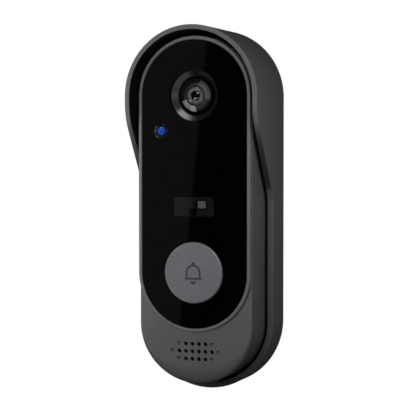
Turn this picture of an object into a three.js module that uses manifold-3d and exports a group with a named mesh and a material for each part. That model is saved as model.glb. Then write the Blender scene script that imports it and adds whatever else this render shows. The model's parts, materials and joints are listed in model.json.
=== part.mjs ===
// Video doorbell with a rain hood. A pill-shaped battery unit sits in a hooded wall shell
// and pulls straight out of it to be charged. Millimetres, +Z up, the wall is the plane
// Y = 0 and the doorbell faces -Y. A "depth" is a distance out from the wall, so Y = -depth.

import * as THREE from 'three';
import { mergeVertices } from 'three/addons/utils/BufferGeometryUtils.js';
import Module from 'manifold-3d';

const wasm = await Module();
wasm.setup();

// ---------------------------------------------------------------- driving dimensions

const GAP = 0.3;

// The wall is this thick at the lip. Its inner face is drafted, so it thins towards the hood's rim.
const SHELL = {
  halfWidth: 27.65,
  halfHeight: 72.5,
  wall: 2.45,
  draft: THREE.MathUtils.degToRad(1.5),
  floor: 2.4,
  hoodDepth: 33.7,
  lipDepth: 13.5,
  backRound: 0.25,
  rimRound: 0.22,
};

// The rim runs from the lip out to the hood along a sloping line with a blend at each end.
const SWEEP = {
  lowCorner: 4.7,
  angle: THREE.MathUtils.degToRad(32.2),
  lowRadius: 10,
  highRadius: 20,
};

// The housing's front has a shallow pocket that takes the bezel's spigot and the panel's gasket.
const UNIT = {
  halfWidth: 23.6,
  halfHeight: 68.75,
  middle: -0.25,
  back: 3.2,
  front: 27.5,
  pocket: 26.9,
  wall: 1.8,
  plate: 2.0,
  edgeRound: 0.3,
  chinRollWidth: 7,
  chinRollDepth: 2,
};

const BEZEL = {
  halfWidth: 23.52,
  halfHeight: 58.32,
  middle: 10.16,
  front: 29.5,
  rim: 1.33,
  edgeRound: 0.45,
  chamfer: 0.12,
  ledge: 1.6,
};

const PANEL = { inset: 1.48, thickness: 1.0, recess: 0.2 };

const CAMERA = { z: 45, ringRadius: 9.95, throatRadius: 7.5, throatDepth: 26.2 };
const DOME = { radius: 7.05, base: 26.3, bulge: 3, wall: 0.55 };
const NOSE = { radius: 4.4, bore: 2.1, depth: 27.95 };
const STATUS = { x: -14.1, z: 31.2, radius: 2.95, discRadius: 1.75, discDepth: 28.3 };
const WINDOW = { width: 17, height: 7.3, z: 1.35, corner: 1.1 };
const BUTTON = { z: -24.6, radius: 12.05, wall: 1.35, face: 30.1, travel: 0.6 };
const GRILLE = { z: -56, rowPitch: 3, holePitch: 2.76, radius: 0.78, blindDepth: 0.5 };
const SPEAKER = { x: -3.1, width: 15.6, height: 11, rim: 1.6, corner: 4, back: 21, front: 24.4 };

const CELL = { radius: 9.1, length: 64.2, x: 9.4, bottom: -42.6, depth: 14.45 };
const BOARD = { back: 23.75, front: 24.45, halfWidth: 18.8, bottom: -44, top: 33.5, corner: 3 };
const COVER = { thickness: 2.0, halfWidth: 21.4, bottom: -62.9, top: 66.45 };
const CLAMP = { depth: 7.5, bossWidth: 8, bossTop: -66.2, bossDepth: 11.5, radius: 1.5 };
const POWER = { z: 29.4, depth: 11, halfWidth: 17, halfHeight: 4.5, thickness: 1 };
const PORT = { width: 8.9, height: 3.2, wall: 0.3, back: 4.5 };
const FLAP = { width: 13.4, height: 6.4, back: 3.3, front: 4 };
const RESET = { x: 11.5, radius: 1.4, travel: 0.4 };
const SCREW = { shank: 1.2, head: 2.1, headBack: 3.35, headFront: 4.35, tip: 12.6 };

const SCREW_PLACES = [
  { x: 14.2, z: 55.5 },
  { x: -14.2, z: 55.5 },
  { x: 14.2, z: -51.5 },
  { x: -14.2, z: -51.5 },
];

// ---------------------------------------------------------------- solids and booleans

// Merges shared vertices, drops triangles with no area and turns the faces outwards.
function closed(geometry) {
  const bare = new THREE.BufferGeometry();
  bare.setAttribute('position', geometry.getAttribute('position'));
  bare.setIndex(geometry.index);
  const merged = mergeVertices(bare, 1e-4);
  const corners = merged.getAttribute('position');
  const index = merged.index.array;
  const faces = [];
  for (let i = 0; i < index.length; i += 3) {
    const [a, b, c] = index.slice(i, i + 3);
    if (a !== b && b !== c && c !== a) faces.push([a, b, c]);
  }
  const point = (i) => new THREE.Vector3().fromBufferAttribute(corners, i);
  let volume = 0;
  for (const [a, b, c] of faces) volume += point(a).dot(point(b).cross(point(c)));
  if (volume < 0) faces.forEach((face) => face.reverse());
  merged.setIndex(faces.flat());
  return merged;
}

function toSolid(geometry) {
  const shape = closed(geometry);
  const vertProperties = new Float32Array(shape.getAttribute('position').array);
  const triVerts = new Uint32Array(shape.index.array);
  return new wasm.Manifold(new wasm.Mesh({ numProp: 3, vertProperties, triVerts }));
}

function toGeometry(solid) {
  const mesh = solid.getMesh();
  const geometry = new THREE.BufferGeometry();
  geometry.setAttribute('position', new THREE.BufferAttribute(mesh.vertProperties, 3));
  geometry.setIndex(new THREE.BufferAttribute(mesh.triVerts, 1));
  return geometry;
}

function combine(method, first, others) {
  const result = others.reduce((solid, other) => solid[method](toSolid(other)), toSolid(first));
  return toGeometry(result);
}

const cut = (base, ...tools) => combine('subtract', base, tools);
const join = (base, ...additions) => combine('add', base, additions);

// ---------------------------------------------------------------- basic forms

function disc(radius, x = 0, z = 0) {
  return new THREE.Shape().absarc(x, z, radius, 0, 2 * Math.PI);
}

function rectangle(width, height, corner, x = 0, z = 0) {
  const right = x + width / 2 - corner;
  const left = x - width / 2 + corner;
  const top = z + height / 2 - corner;
  const bottom = z - height / 2 + corner;
  const turn = Math.PI / 2;
  const shape = new THREE.Shape();
  shape.absarc(right, top, corner, 0, turn);
  shape.absarc(left, top, corner, turn, 2 * turn);
  shape.absarc(left, bottom, corner, 2 * turn, 3 * turn);
  shape.absarc(right, bottom, corner, 3 * turn, 4 * turn);
  return shape;
}

function pill(halfWidth, bottom, top) {
  const shape = new THREE.Shape();
  shape.absarc(0, top - halfWidth, halfWidth, 0, Math.PI);
  shape.absarc(0, bottom + halfWidth, halfWidth, Math.PI, 2 * Math.PI);
  return shape;
}

// A plate parallel to the wall, between two depths, with its outline drawn in X and Z.
function plate(shape, backDepth, frontDepth, curveSegments = 12) {
  const depth = frontDepth - backDepth;
  const geometry = new THREE.ExtrudeGeometry(shape, { depth, bevelEnabled: false, curveSegments });
  return geometry.rotateX(Math.PI / 2).translate(0, -backDepth, 0);
}

function withHoles(shape, ...holes) {
  shape.holes.push(...holes);
  return shape;
}

function block(xRange, depthRange, zRange) {
  const [width, depth, height] = [xRange, depthRange, zRange].map(([low, high]) => high - low);
  const [x, y, z] = [xRange, depthRange, zRange].map(([low, high]) => (low + high) / 2);
  return new THREE.BoxGeometry(width, depth, height).translate(x, -y, z);
}

// A turned form about the Y axis, from [radius, depth] corners.
function turned(corners, segments = 32) {
  const profile = corners.map(([radius, depth]) => new THREE.Vector2(radius, -depth));
  return new THREE.LatheGeometry(profile, segments);
}

const turnedRing = (corners, segments) => turned([...corners, corners[0]], segments);

// A quarter round from the side of a piece to its face, as [inset, drop] pairs.
function quarterRound(radius, steps) {
  return Array.from({ length: steps + 1 }, (_, i) => {
    const angle = (Math.PI / 2) * (i / steps);
    return [radius * (1 - Math.cos(angle)), radius * (1 - Math.sin(angle))];
  });
}

// ---------------------------------------------------------------- lofted pill forms

// Stations round a pill outline: each is an arc centre on the Z axis and an outward direction.
function stations({ halfWidth, halfHeight, middle = 0 }, arcSteps, sideHeights = []) {
  const straight = halfHeight - halfWidth;
  const list = [];
  for (const side of [1, -1]) {
    for (let i = 0; i <= arcSteps; i += 1) {
      const angle = Math.PI * (i / arcSteps) + (side > 0 ? 0 : Math.PI);
      const direction = { nx: Math.cos(angle), nz: Math.sin(angle) };
      list.push({ centre: middle + side * straight, halfWidth, ...direction });
    }
    const down = [...sideHeights].sort((a, b) => side * (b - a));
    for (const height of down) list.push({ centre: height, halfWidth, nx: -side, nz: 0 });
  }
  return list;
}

// One ring of a loft. Inset and depth may each be a number or depend on the point.
function ring(outline, inset, depth) {
  return outline.map((station) => {
    const reach = station.halfWidth - (typeof inset === 'function' ? inset(station) : inset);
    const x = station.nx * reach;
    const z = station.centre + station.nz * reach;
    const out = typeof depth === 'function' ? depth(z, station) : depth;
    return new THREE.Vector3(x, -out, z);
  });
}

// Joins rings of equally many points. The ends are capped, or joined to each other as a band.
function loft(rings, isBand = false) {
  const count = rings[0].length;
  const vertices = rings.flat();
  const faces = [];
  const spans = isBand ? rings.length : rings.length - 1;
  for (let level = 0; level < spans; level += 1) {
    const near = level * count;
    const far = ((level + 1) % rings.length) * count;
    for (let i = 0; i < count; i += 1) {
      const next = (i + 1) % count;
      faces.push(near + i, near + next, far + next, near + i, far + next, far + i);
    }
  }
  if (!isBand) {
    const last = (rings.length - 1) * count;
    for (const [start, turn] of [[0, 1], [last, -1]]) {
      const centre = vertices.length;
      const members = vertices.slice(start, start + count);
      const sum = members.reduce((total, v) => total.add(v), new THREE.Vector3());
      vertices.push(sum.divideScalar(count));
      for (let i = 0; i < count; i += 1) {
        const pair = [start + i, start + ((i + 1) % count)];
        if (turn > 0) pair.reverse();
        faces.push(centre, ...pair);
      }
    }
  }
  const geometry = new THREE.BufferGeometry().setFromPoints(vertices);
  geometry.setIndex(faces);
  return geometry;
}

// ---------------------------------------------------------------- materials and placing

function finish(color, roughness, metalness = 0) {
  return new THREE.MeshStandardMaterial({ color, roughness, metalness });
}

const MATERIALS = {
  body: finish('#4e5053', 0.45),
  panel: finish('#08080a', 0.06),
  trim: finish('#46484b', 0.35),
  black: finish('#121214', 0.5),
  lens: finish('#0b0d12', 0.03),
  glow: finish('#1040a0', 0.2),
  smoked: finish('#1c1c1e', 0.12),
  emitter: finish('#8c8c8c', 0.4),
  button: finish('#5e6063', 0.4),
  rubber: finish('#202022', 0.8),
  board: finish('#1d4a2f', 0.5),
  steel: finish('#a9abad', 0.3, 1),
  brass: finish('#b5893c', 0.35, 1),
  nickel: finish('#9d9a92', 0.35, 1),
  cell: finish('#2f6f8f', 0.4),
  chip: finish('#17181a', 0.45),
  foam: finish('#2a2a2c', 0.95),
};

const doorbell = new THREE.Group();
const unit = new THREE.Group();
doorbell.add(unit);

function place(parent, name, geometry, material, position = [0, 0, 0], rotation = [0, 0, 0]) {
  const mesh = new THREE.Mesh(closed(geometry), material);
  mesh.name = name;
  mesh.position.set(...position);
  mesh.rotation.set(...rotation);
  parent.add(mesh);
}

const ALONG_Z = [Math.PI / 2, 0, 0];

// ---------------------------------------------------------------- hooded wall shell

const sweepReach = (radius) => radius * Math.tan(SWEEP.angle / 2);
const sweepRise = (SHELL.hoodDepth - SHELL.lipDepth) / Math.tan(SWEEP.angle);
const sweepFoot = SWEEP.lowCorner - sweepReach(SWEEP.lowRadius);
const sweepHead = SWEEP.lowCorner + sweepRise + sweepReach(SWEEP.highRadius);

// The depth of the rim at a height: lip, blend, slope, blend, hood.
function rimDepth(z) {
  const lowEnd = sweepFoot + SWEEP.lowRadius * Math.sin(SWEEP.angle);
  const highStart = sweepHead - SWEEP.highRadius * Math.sin(SWEEP.angle);
  if (z <= sweepFoot) return SHELL.lipDepth;
  if (z >= sweepHead) return SHELL.hoodDepth;
  if (z < lowEnd) {
    return SHELL.lipDepth + SWEEP.lowRadius - Math.sqrt(SWEEP.lowRadius ** 2 - (z - sweepFoot) ** 2);
  }
  if (z > highStart) {
    return SHELL.hoodDepth - SWEEP.highRadius + Math.sqrt(SWEEP.highRadius ** 2 - (sweepHead - z) ** 2);
  }
  return SHELL.lipDepth + (z - SWEEP.lowCorner) * Math.tan(SWEEP.angle);
}

const wallAt = (depth) => SHELL.wall - (depth - SHELL.lipDepth) * Math.tan(SHELL.draft);

function makeRainShell() {
  const sweepSteps = 14;
  const sideHeights = Array.from({ length: sweepSteps + 1 }, (_, i) => (
    sweepFoot + (sweepHead - sweepFoot) * (i / sweepSteps)
  ));
  const outline = stations(SHELL, 24, sideHeights);
  const backRings = quarterRound(SHELL.backRound, 1).reverse()
    .map(([inset, drop]) => ring(outline, inset, drop));
  const rimRound = quarterRound(SHELL.rimRound, 1);
  const outerRim = rimRound.map(([inset, drop]) => ring(outline, inset, (z) => rimDepth(z) - drop));
  const rimWall = ({ centre, nz, halfWidth }) => wallAt(rimDepth(centre + nz * halfWidth));
  const innerRim = [...rimRound].reverse().map(([inset, drop]) => (
    ring(outline, (station) => rimWall(station) - inset, (z) => rimDepth(z) - drop)
  ));
  const floorRing = ring(outline, wallAt(SHELL.floor), SHELL.floor);
  return loft([...backRings, ...outerRim, ...innerRim, floorRing]);
}

// Low ribs inside the side walls that guide the unit, clear of it.
function guideRibs() {
  const rib = { z: 28, halfHeight: 2, clearance: 0.5, front: 9 };
  const inner = SHELL.halfWidth - wallAt(SHELL.floor);
  const depths = [SHELL.floor / 2, rib.front];
  return [-1, 1].flatMap((side) => [-rib.z, rib.z].map((z) => {
    const reaches = [UNIT.halfWidth + rib.clearance, inner + SHELL.wall / 2];
    const xRange = reaches.map((x) => side * x).sort((a, b) => a - b);
    return block(xRange, depths, [z - rib.halfHeight, z + rib.halfHeight]);
  }));
}

// Four low pads on the shell's floor that the unit's back stands on.
function floorPads() {
  const pad = { radius: 4, x: 13, z: 34 };
  const depths = [SHELL.floor / 2, UNIT.back - GAP];
  return [-pad.x, pad.x].flatMap((x) => [-pad.z, pad.z].map((z) => (
    plate(disc(pad.radius, x, z), ...depths, 6)
  )));
}

// A screw hole in the shell's floor with a countersink on the room side.
function wallScrewHole(z) {
  const radius = 2.2;
  const headRadius = 4.2;
  const sinkStart = 0.6;
  const past = SHELL.floor + 1.6;
  return turned([
    [0, -1], [radius, -1], [radius, sinkStart], [headRadius, SHELL.floor + 0.2],
    [headRadius, past], [0, past],
  ], 16).translate(0, 0, z);
}

function addShell() {
  const bossHalf = CLAMP.bossWidth / 2;
  const bossFoot = -SHELL.halfHeight + SHELL.wall / 2;
  const bossDepths = [SHELL.floor / 2, CLAMP.bossDepth];
  const boss = block([-bossHalf, bossHalf], bossDepths, [bossFoot, CLAMP.bossTop]);
  const body = join(makeRainShell(), ...guideRibs(), ...floorPads(), boss);

  // The clamp screw turns in a brass insert in the boss, through a hole in the lip below it.
  const insert = { bore: 1.65, radius: 2.2, length: 3.6, top: CLAMP.bossTop - 0.1 };
  const insertHole = new THREE.CylinderGeometry(insert.radius + 0.15, insert.radius + 0.15, 5.2, 14);
  const toolHole = new THREE.CylinderGeometry(1.9, 1.9, 8, 14);
  const atClamp = (form, z) => form.rotateX(Math.PI / 2).translate(0, -CLAMP.depth, z);
  const shell = cut(
    body,
    wallScrewHole(48),
    wallScrewHole(-48),
    atClamp(insertHole, CLAMP.bossTop - 1.6),
    atClamp(toolHole, -SHELL.halfHeight + 2),
  );
  place(doorbell, 'rain_shell', shell, MATERIALS.body);

  const sleeve = turnedRing([
    [insert.bore, 0], [insert.radius, 0], [insert.radius, insert.length], [insert.bore, insert.length],
  ], 14);
  place(doorbell, 'clamp_insert', sleeve, MATERIALS.brass, [0, -CLAMP.depth, insert.top], ALONG_Z);
  const screwLength = 6;
  const tipRadius = 1.1;
  const socket = new THREE.CylinderGeometry(0.9, 0.9, 3, 6).translate(0, 0.6, 0);
  const blank = new THREE.CylinderGeometry(CLAMP.radius, tipRadius, screwLength, 14);
  const grub = cut(blank.translate(0, screwLength / 2, 0), socket);
  const upsideDown = [-Math.PI / 2, 0, 0];
  const screwTop = insert.top + 0.45;
  place(doorbell, 'clamp_screw', grub, MATERIALS.steel, [0, -CLAMP.depth, screwTop], upsideDown);
}

addShell();

// ---------------------------------------------------------------- unit housing

// How far the front edge rolls over: crisp along the sides, growing round the chin.
function chinShare(station) {
  return Math.max(0, -station.nz) ** 2 * (station.centre < 0 ? 1 : 0);
}

function makeHousingBody() {
  const outline = stations(UNIT, 24);
  const rollSteps = 4;
  const rings = [
    ring(outline, UNIT.edgeRound, UNIT.back),
    ring(outline, 0, UNIT.back + UNIT.edgeRound),
  ];
  for (let i = 0; i <= rollSteps; i += 1) {
    const angle = (Math.PI / 2) * (i / rollSteps);
    const width = (s) => UNIT.edgeRound + (UNIT.chinRollWidth - UNIT.edgeRound) * chinShare(s);
    const drop = (s) => UNIT.edgeRound + (UNIT.chinRollDepth - UNIT.edgeRound) * chinShare(s);
    const inset = (s) => width(s) * (1 - Math.cos(angle));
    rings.push(ring(outline, inset, (z, s) => UNIT.front - drop(s) * (1 - Math.sin(angle))));
  }
  return loft(rings);
}

function insetPill(inset, bottomInset = inset) {
  const bottom = UNIT.middle - UNIT.halfHeight + bottomInset;
  const top = UNIT.middle + UNIT.halfHeight - inset;
  return pill(UNIT.halfWidth - inset, bottom, top);
}

function grilleHoles() {
  const holes = [];
  const rows = [{ count: 6, z: 1 }, { count: 8, z: 0 }, { count: 6, z: -1 }];
  for (const { count, z } of rows) {
    for (let i = 0; i < count; i += 1) {
      const x = (i - (count - 1) / 2) * GRILLE.holePitch;
      const isBlind = i === 0 || i === count - 1;
      const reach = isBlind ? UNIT.front - GRILLE.blindDepth : UNIT.front - UNIT.plate - 1;
      const form = disc(GRILLE.radius, x, GRILLE.z + z * GRILLE.rowPitch);
      holes.push(plate(form, reach, UNIT.front + 1, 5));
    }
  }
  return holes;
}

// The bezel's outline, drawn in by an inset.
function bezelPill(inset) {
  const reach = BEZEL.halfHeight - inset;
  return pill(BEZEL.halfWidth - inset, BEZEL.middle - reach, BEZEL.middle + reach);
}

function addHousing() {
  const innerFront = UNIT.front - UNIT.plate;
  const cavityBack = 7.4;
  const ledge = 1.8;
  const chinLedge = 6.2;
  const notch = { halfWidth: 5, depth: 12.5, top: -65.5, wall: 1.8 };
  const notchWalls = block(
    [-notch.halfWidth - notch.wall, notch.halfWidth + notch.wall],
    [0, notch.depth + notch.wall],
    [-72, notch.top + notch.wall],
  );
  const cavity = cut(plate(insetPill(UNIT.wall), cavityBack, innerFront, 9), notchWalls);
  const ledgeShape = insetPill(UNIT.wall + ledge, UNIT.wall + chinLedge);
  const coverRecess = pill(COVER.halfWidth + 0.27, COVER.bottom - 0.3, COVER.top + 0.25);
  const through = [innerFront - 1, UNIT.front + 1];
  const windowShape = rectangle(WINDOW.width + 1, WINDOW.height + 1, WINDOW.corner, 0, WINDOW.z);
  const buttonRecess = { radius: BUTTON.radius + 1.75, front: 26.3 };
  const housing = cut(
    makeHousingBody(),
    cavity,
    plate(ledgeShape, 5, cavityBack + 0.6, 9),
    plate(coverRecess, 0, 6.2, 9),
    block([-notch.halfWidth, notch.halfWidth], [0, notch.depth], [-72, notch.top]),
    plate(bezelPill(BEZEL.rim), UNIT.pocket, UNIT.front + 1, 11),
    plate(disc(CAMERA.ringRadius + GAP, 0, CAMERA.z), ...through, 10),
    plate(disc(STATUS.radius + 0.4, STATUS.x, STATUS.z), ...through, 6),
    plate(windowShape, ...through, 3),
    plate(disc(BUTTON.radius + GAP, 0, BUTTON.z), ...through, 12),
    plate(disc(buttonRecess.radius, 0, BUTTON.z), innerFront - 1, buttonRecess.front, 10),
    ...grilleHoles(),
  );
  const post = { radius: 2.7, back: 6.3, pilot: 1.45, pilotEnd: 13.5 };
  const posts = SCREW_PLACES.map(({ x, z }) => (
    plate(disc(post.radius, x, z), post.back, innerFront + UNIT.plate / 4, 6)
  ));
  const pilots = SCREW_PLACES.map(({ x, z }) => plate(disc(post.pilot, x, z), 5, post.pilotEnd, 5));
  place(unit, 'front_housing', cut(join(housing, ...posts), ...pilots), MATERIALS.body);
}

addHousing();

// ---------------------------------------------------------------- bezel, panel and gasket

const panelFront = BEZEL.front - PANEL.recess;
const panelBack = panelFront - PANEL.thickness;

function addFront() {
  const outline = stations(BEZEL, 25);
  const back = UNIT.front + GAP;
  const spigotBack = UNIT.pocket + GAP;
  const seat = panelBack - 0.25;
  const ledgeInset = BEZEL.rim + BEZEL.ledge;
  const edge = quarterRound(BEZEL.edgeRound, 2);
  const bezel = loft([
    ring(outline, 0, back),
    ...edge.map(([inset, drop]) => ring(outline, inset, BEZEL.front - drop)),
    ring(outline, BEZEL.rim - BEZEL.chamfer, BEZEL.front),
    ring(outline, BEZEL.rim, BEZEL.front - BEZEL.chamfer),
    ring(outline, BEZEL.rim, seat),
    ring(outline, ledgeInset, seat),
    ring(outline, ledgeInset, spigotBack),
    ring(outline, BEZEL.rim + GAP, spigotBack),
    ring(outline, BEZEL.rim + GAP, back),
  ], true);
  place(unit, 'bezel_frame', bezel, MATERIALS.body);

  const openings = (extra) => [
    disc(CAMERA.ringRadius + 0.1 + extra, 0, CAMERA.z),
    disc(STATUS.radius + 0.1 + extra, STATUS.x, STATUS.z),
    rectangle(WINDOW.width + 0.2 + extra, WINDOW.height + 0.2 + extra, WINDOW.corner, 0, WINDOW.z),
    disc(BUTTON.radius + 0.25 + extra, 0, BUTTON.z),
  ];
  const panelShape = withHoles(bezelPill(PANEL.inset), ...openings(0));
  place(unit, 'front_panel', plate(panelShape, panelBack, panelFront, 12), MATERIALS.panel);

  const tapeShape = withHoles(bezelPill(ledgeInset + GAP), ...openings(1.6));
  place(unit, 'panel_gasket', plate(tapeShape, spigotBack, seat - 0.05, 6), MATERIALS.foam);
}

addFront();

// ---------------------------------------------------------------- camera

// The front glass is a thin dome. Its outer and inner faces are arcs about one centre.
function makeDome() {
  const sphere = (DOME.radius ** 2 + DOME.bulge ** 2) / (2 * DOME.bulge);
  const centre = DOME.base + DOME.bulge - sphere;
  const arc = (radius, steps) => {
    const edge = Math.acos((DOME.base - centre) / radius);
    return Array.from({ length: steps + 1 }, (_, i) => {
      const angle = edge * (i / steps);
      return [radius * Math.sin(angle), centre + radius * Math.cos(angle)];
    });
  };
  return turned([...arc(sphere, 6), ...arc(sphere - DOME.wall, 3).reverse()], 24);
}

function addCamera() {
  const camera = new THREE.Group();
  camera.position.z = CAMERA.z;
  unit.add(camera);

  // The trim ring is a cone down to the throat, with a flange held under the panel.
  const R = CAMERA.ringRadius;
  const flangeRadius = R + 1.2;
  const flangeBack = UNIT.pocket + GAP;
  const flangeFront = panelBack - GAP;
  const throatEnd = 24.6;
  const trim = turnedRing([
    [flangeRadius, flangeBack], [flangeRadius, flangeFront], [R, flangeFront],
    [CAMERA.throatRadius, CAMERA.throatDepth], [CAMERA.throatRadius, throatEnd],
    [R, throatEnd], [R, flangeBack],
  ], 36);
  place(camera, 'camera_trim_ring', trim, MATERIALS.trim);
  place(camera, 'lens_dome', makeDome(), MATERIALS.lens);

  // A grooved ring on the barrel's nose holds the front element.
  const groove = { inner: 2.4, outer: 2.85, depth: 0.15 };
  const noseBack = 26.75;
  const nose = turnedRing([
    [NOSE.bore, NOSE.depth], [groove.inner, NOSE.depth], [groove.inner, NOSE.depth - groove.depth],
    [groove.outer, NOSE.depth - groove.depth], [groove.outer, NOSE.depth], [3.1, NOSE.depth],
    [3.85, 27.7], [NOSE.radius, 27.25], [NOSE.radius, noseBack], [NOSE.bore, noseBack],
  ], 20);
  place(camera, 'lens_retainer', nose, MATERIALS.trim);
  const barrel = { radius: 6.95, shoulder: DOME.base - GAP, front: noseBack - GAP, back: 13 };
  const tube = turnedRing([
    [NOSE.bore, barrel.front], [5.4, barrel.front], [6, barrel.shoulder],
    [barrel.radius, barrel.shoulder], [barrel.radius, barrel.back], [NOSE.bore, barrel.back],
  ], 26);
  place(camera, 'lens_barrel', tube, MATERIALS.black);

  const glassRadius = NOSE.bore - 0.2;
  const frontGlass = turned([
    [0, 27.8], [0.55, 27.76], [1.05, 27.65], [1.5, 27.46], [glassRadius, 27.2], [glassRadius, 25.4],
    [0, 25.4],
  ], 20);
  place(camera, 'lens_front_element', frontGlass, MATERIALS.lens);
  const rearGlass = turned([[0, 17.4], [glassRadius, 17], [glassRadius, 15.6], [0, 15.2]], 16);
  place(camera, 'lens_rear_element', rearGlass, MATERIALS.lens);

  // The holder carries the barrel over the image sensor.
  const holder = { size: 16, back: 9.6, front: 15.5, seat: 12.6 };
  const holderBody = plate(rectangle(holder.size, holder.size, 1.5), holder.back, holder.front, 1);
  const barrelSeat = plate(disc(barrel.radius + 0.25), holder.seat, holder.front + 1, 9);
  const sensorWell = plate(rectangle(9, 9, 0.5), holder.back - 1, holder.seat + 1, 1);
  place(camera, 'lens_holder', cut(holderBody, barrelSeat, sensorWell), MATERIALS.black);
  place(camera, 'image_sensor', block([-3.6, 3.6], [9.5, 10.6], [-3, 3]), MATERIALS.chip);
  place(camera, 'camera_board', plate(rectangle(22, 20, 1), 8.4, 9.3, 2), MATERIALS.board);
}

addCamera();

// ---------------------------------------------------------------- status light and window

function addSensors() {
  const status = new THREE.Group();
  status.position.set(STATUS.x, 0, STATUS.z);
  unit.add(status);
  const R = STATUS.radius;
  const cupBack = UNIT.front - 1.5;
  const cupBore = STATUS.discRadius + GAP;
  const lip = 0.08;
  const cup = turnedRing([
    [R, cupBack], [R, panelFront - lip], [R - lip, panelFront], [cupBore + 0.2, STATUS.discDepth + 0.1],
    [cupBore, STATUS.discDepth - 0.1], [cupBore, cupBack],
  ], 24);
  place(status, 'status_cup', cup, MATERIALS.trim);
  const guideBack = 25.6;
  const guide = turned([
    [0, STATUS.discDepth], [1.25, STATUS.discDepth - 0.05], [STATUS.discRadius, STATUS.discDepth - 0.3],
    [STATUS.discRadius, guideBack], [0, guideBack],
  ], 18);
  place(status, 'status_light_guide', guide, MATERIALS.glow);
  const ledFront = guideBack - GAP;
  const led = block([-0.8, 0.8], [BOARD.front + 0.25, ledFront], [-0.8, 0.8]);
  place(status, 'status_led', led, MATERIALS.emitter);

  const windowShape = rectangle(WINDOW.width, WINDOW.height, WINDOW.corner - 0.1);
  const windowBack = panelFront - 0.9;
  const window = plate(windowShape, windowBack, panelFront, 4);
  place(unit, 'sensor_window', window, MATERIALS.smoked, [0, 0, WINDOW.z]);
  // Behind the window are the motion detector's bay on the left and the emitter's on the right.
  const bayFloor = 26;
  const bayHeight = [-2.6, 2.6];
  const rimShape = rectangle(WINDOW.width + 0.4, WINDOW.height + 0.4, 0.8);
  const holder = cut(
    plate(rimShape, BOARD.front + 0.35, windowBack - GAP, 2),
    block([-7.9, 0], [bayFloor, panelFront], bayHeight),
    block([0.6, 7.9], [bayFloor, panelFront], bayHeight),
  );
  place(unit, 'sensor_holder', holder, MATERIALS.black, [0, 0, WINDOW.z]);
  const emitter = block([1.0, 4.8], [bayFloor + GAP, 27.7], [-0.6, 2.4]);
  place(unit, 'infrared_emitter', emitter, MATERIALS.emitter, [0, 0, WINDOW.z]);
  const detector = block([-7.4, -0.5], [bayFloor + GAP, 27.2], [-2.2, 2.2]);
  place(unit, 'motion_detector', detector, MATERIALS.chip, [0, 0, WINDOW.z]);
}

addSensors();

// ---------------------------------------------------------------- push button

function addButton() {
  const button = new THREE.Group();
  button.position.z = BUTTON.z;
  unit.add(button);
  // A hollow cap with a slightly dished face, a flange that stops it in the panel's opening and
  // a stem that meets the switch. Pressed home, the flange still clears the board.
  const R = BUTTON.radius;
  const { face } = BUTTON;
  const inner = R - BUTTON.wall;
  const flange = { radius: R + 1.3, back: BOARD.front + BUTTON.travel + GAP, thickness: 0.65 };
  const flangeFront = flange.back + flange.thickness;
  const ceiling = face - BUTTON.wall;
  const stem = { radius: 2.2, end: 27.5 };
  const edge = 0.22;
  const cap = turned([
    [0, face - 0.12], [R * 0.6, face - 0.06], [R - edge, face], [R, face - edge],
    [R, flangeFront], [flange.radius, flangeFront], [flange.radius, flange.back], [inner, flange.back],
    [inner, ceiling], [stem.radius, ceiling], [stem.radius, stem.end], [0, stem.end],
  ], 34);
  place(button, 'button_cap', cap, MATERIALS.button);

  const socket = { size: 6, top: 26.4, floor: 25.2 };
  const base = cut(
    plate(rectangle(socket.size, socket.size, 0.4), BOARD.front + 0.2, socket.top, 2),
    plate(disc(1.9), socket.floor, socket.top + 1, 6),
  );
  place(button, 'button_switch', base, MATERIALS.chip);
  const plungerBack = socket.floor + BUTTON.travel + 0.1;
  const plungerTop = stem.end - GAP;
  const plunger = turned([
    [0, plungerTop], [1.3, plungerTop], [1.5, plungerTop - 0.2], [1.5, plungerBack], [0, plungerBack],
  ], 14);
  place(button, 'button_plunger', plunger, MATERIALS.emitter);
}

addButton();

// ---------------------------------------------------------------- boards, radio and sound

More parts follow.
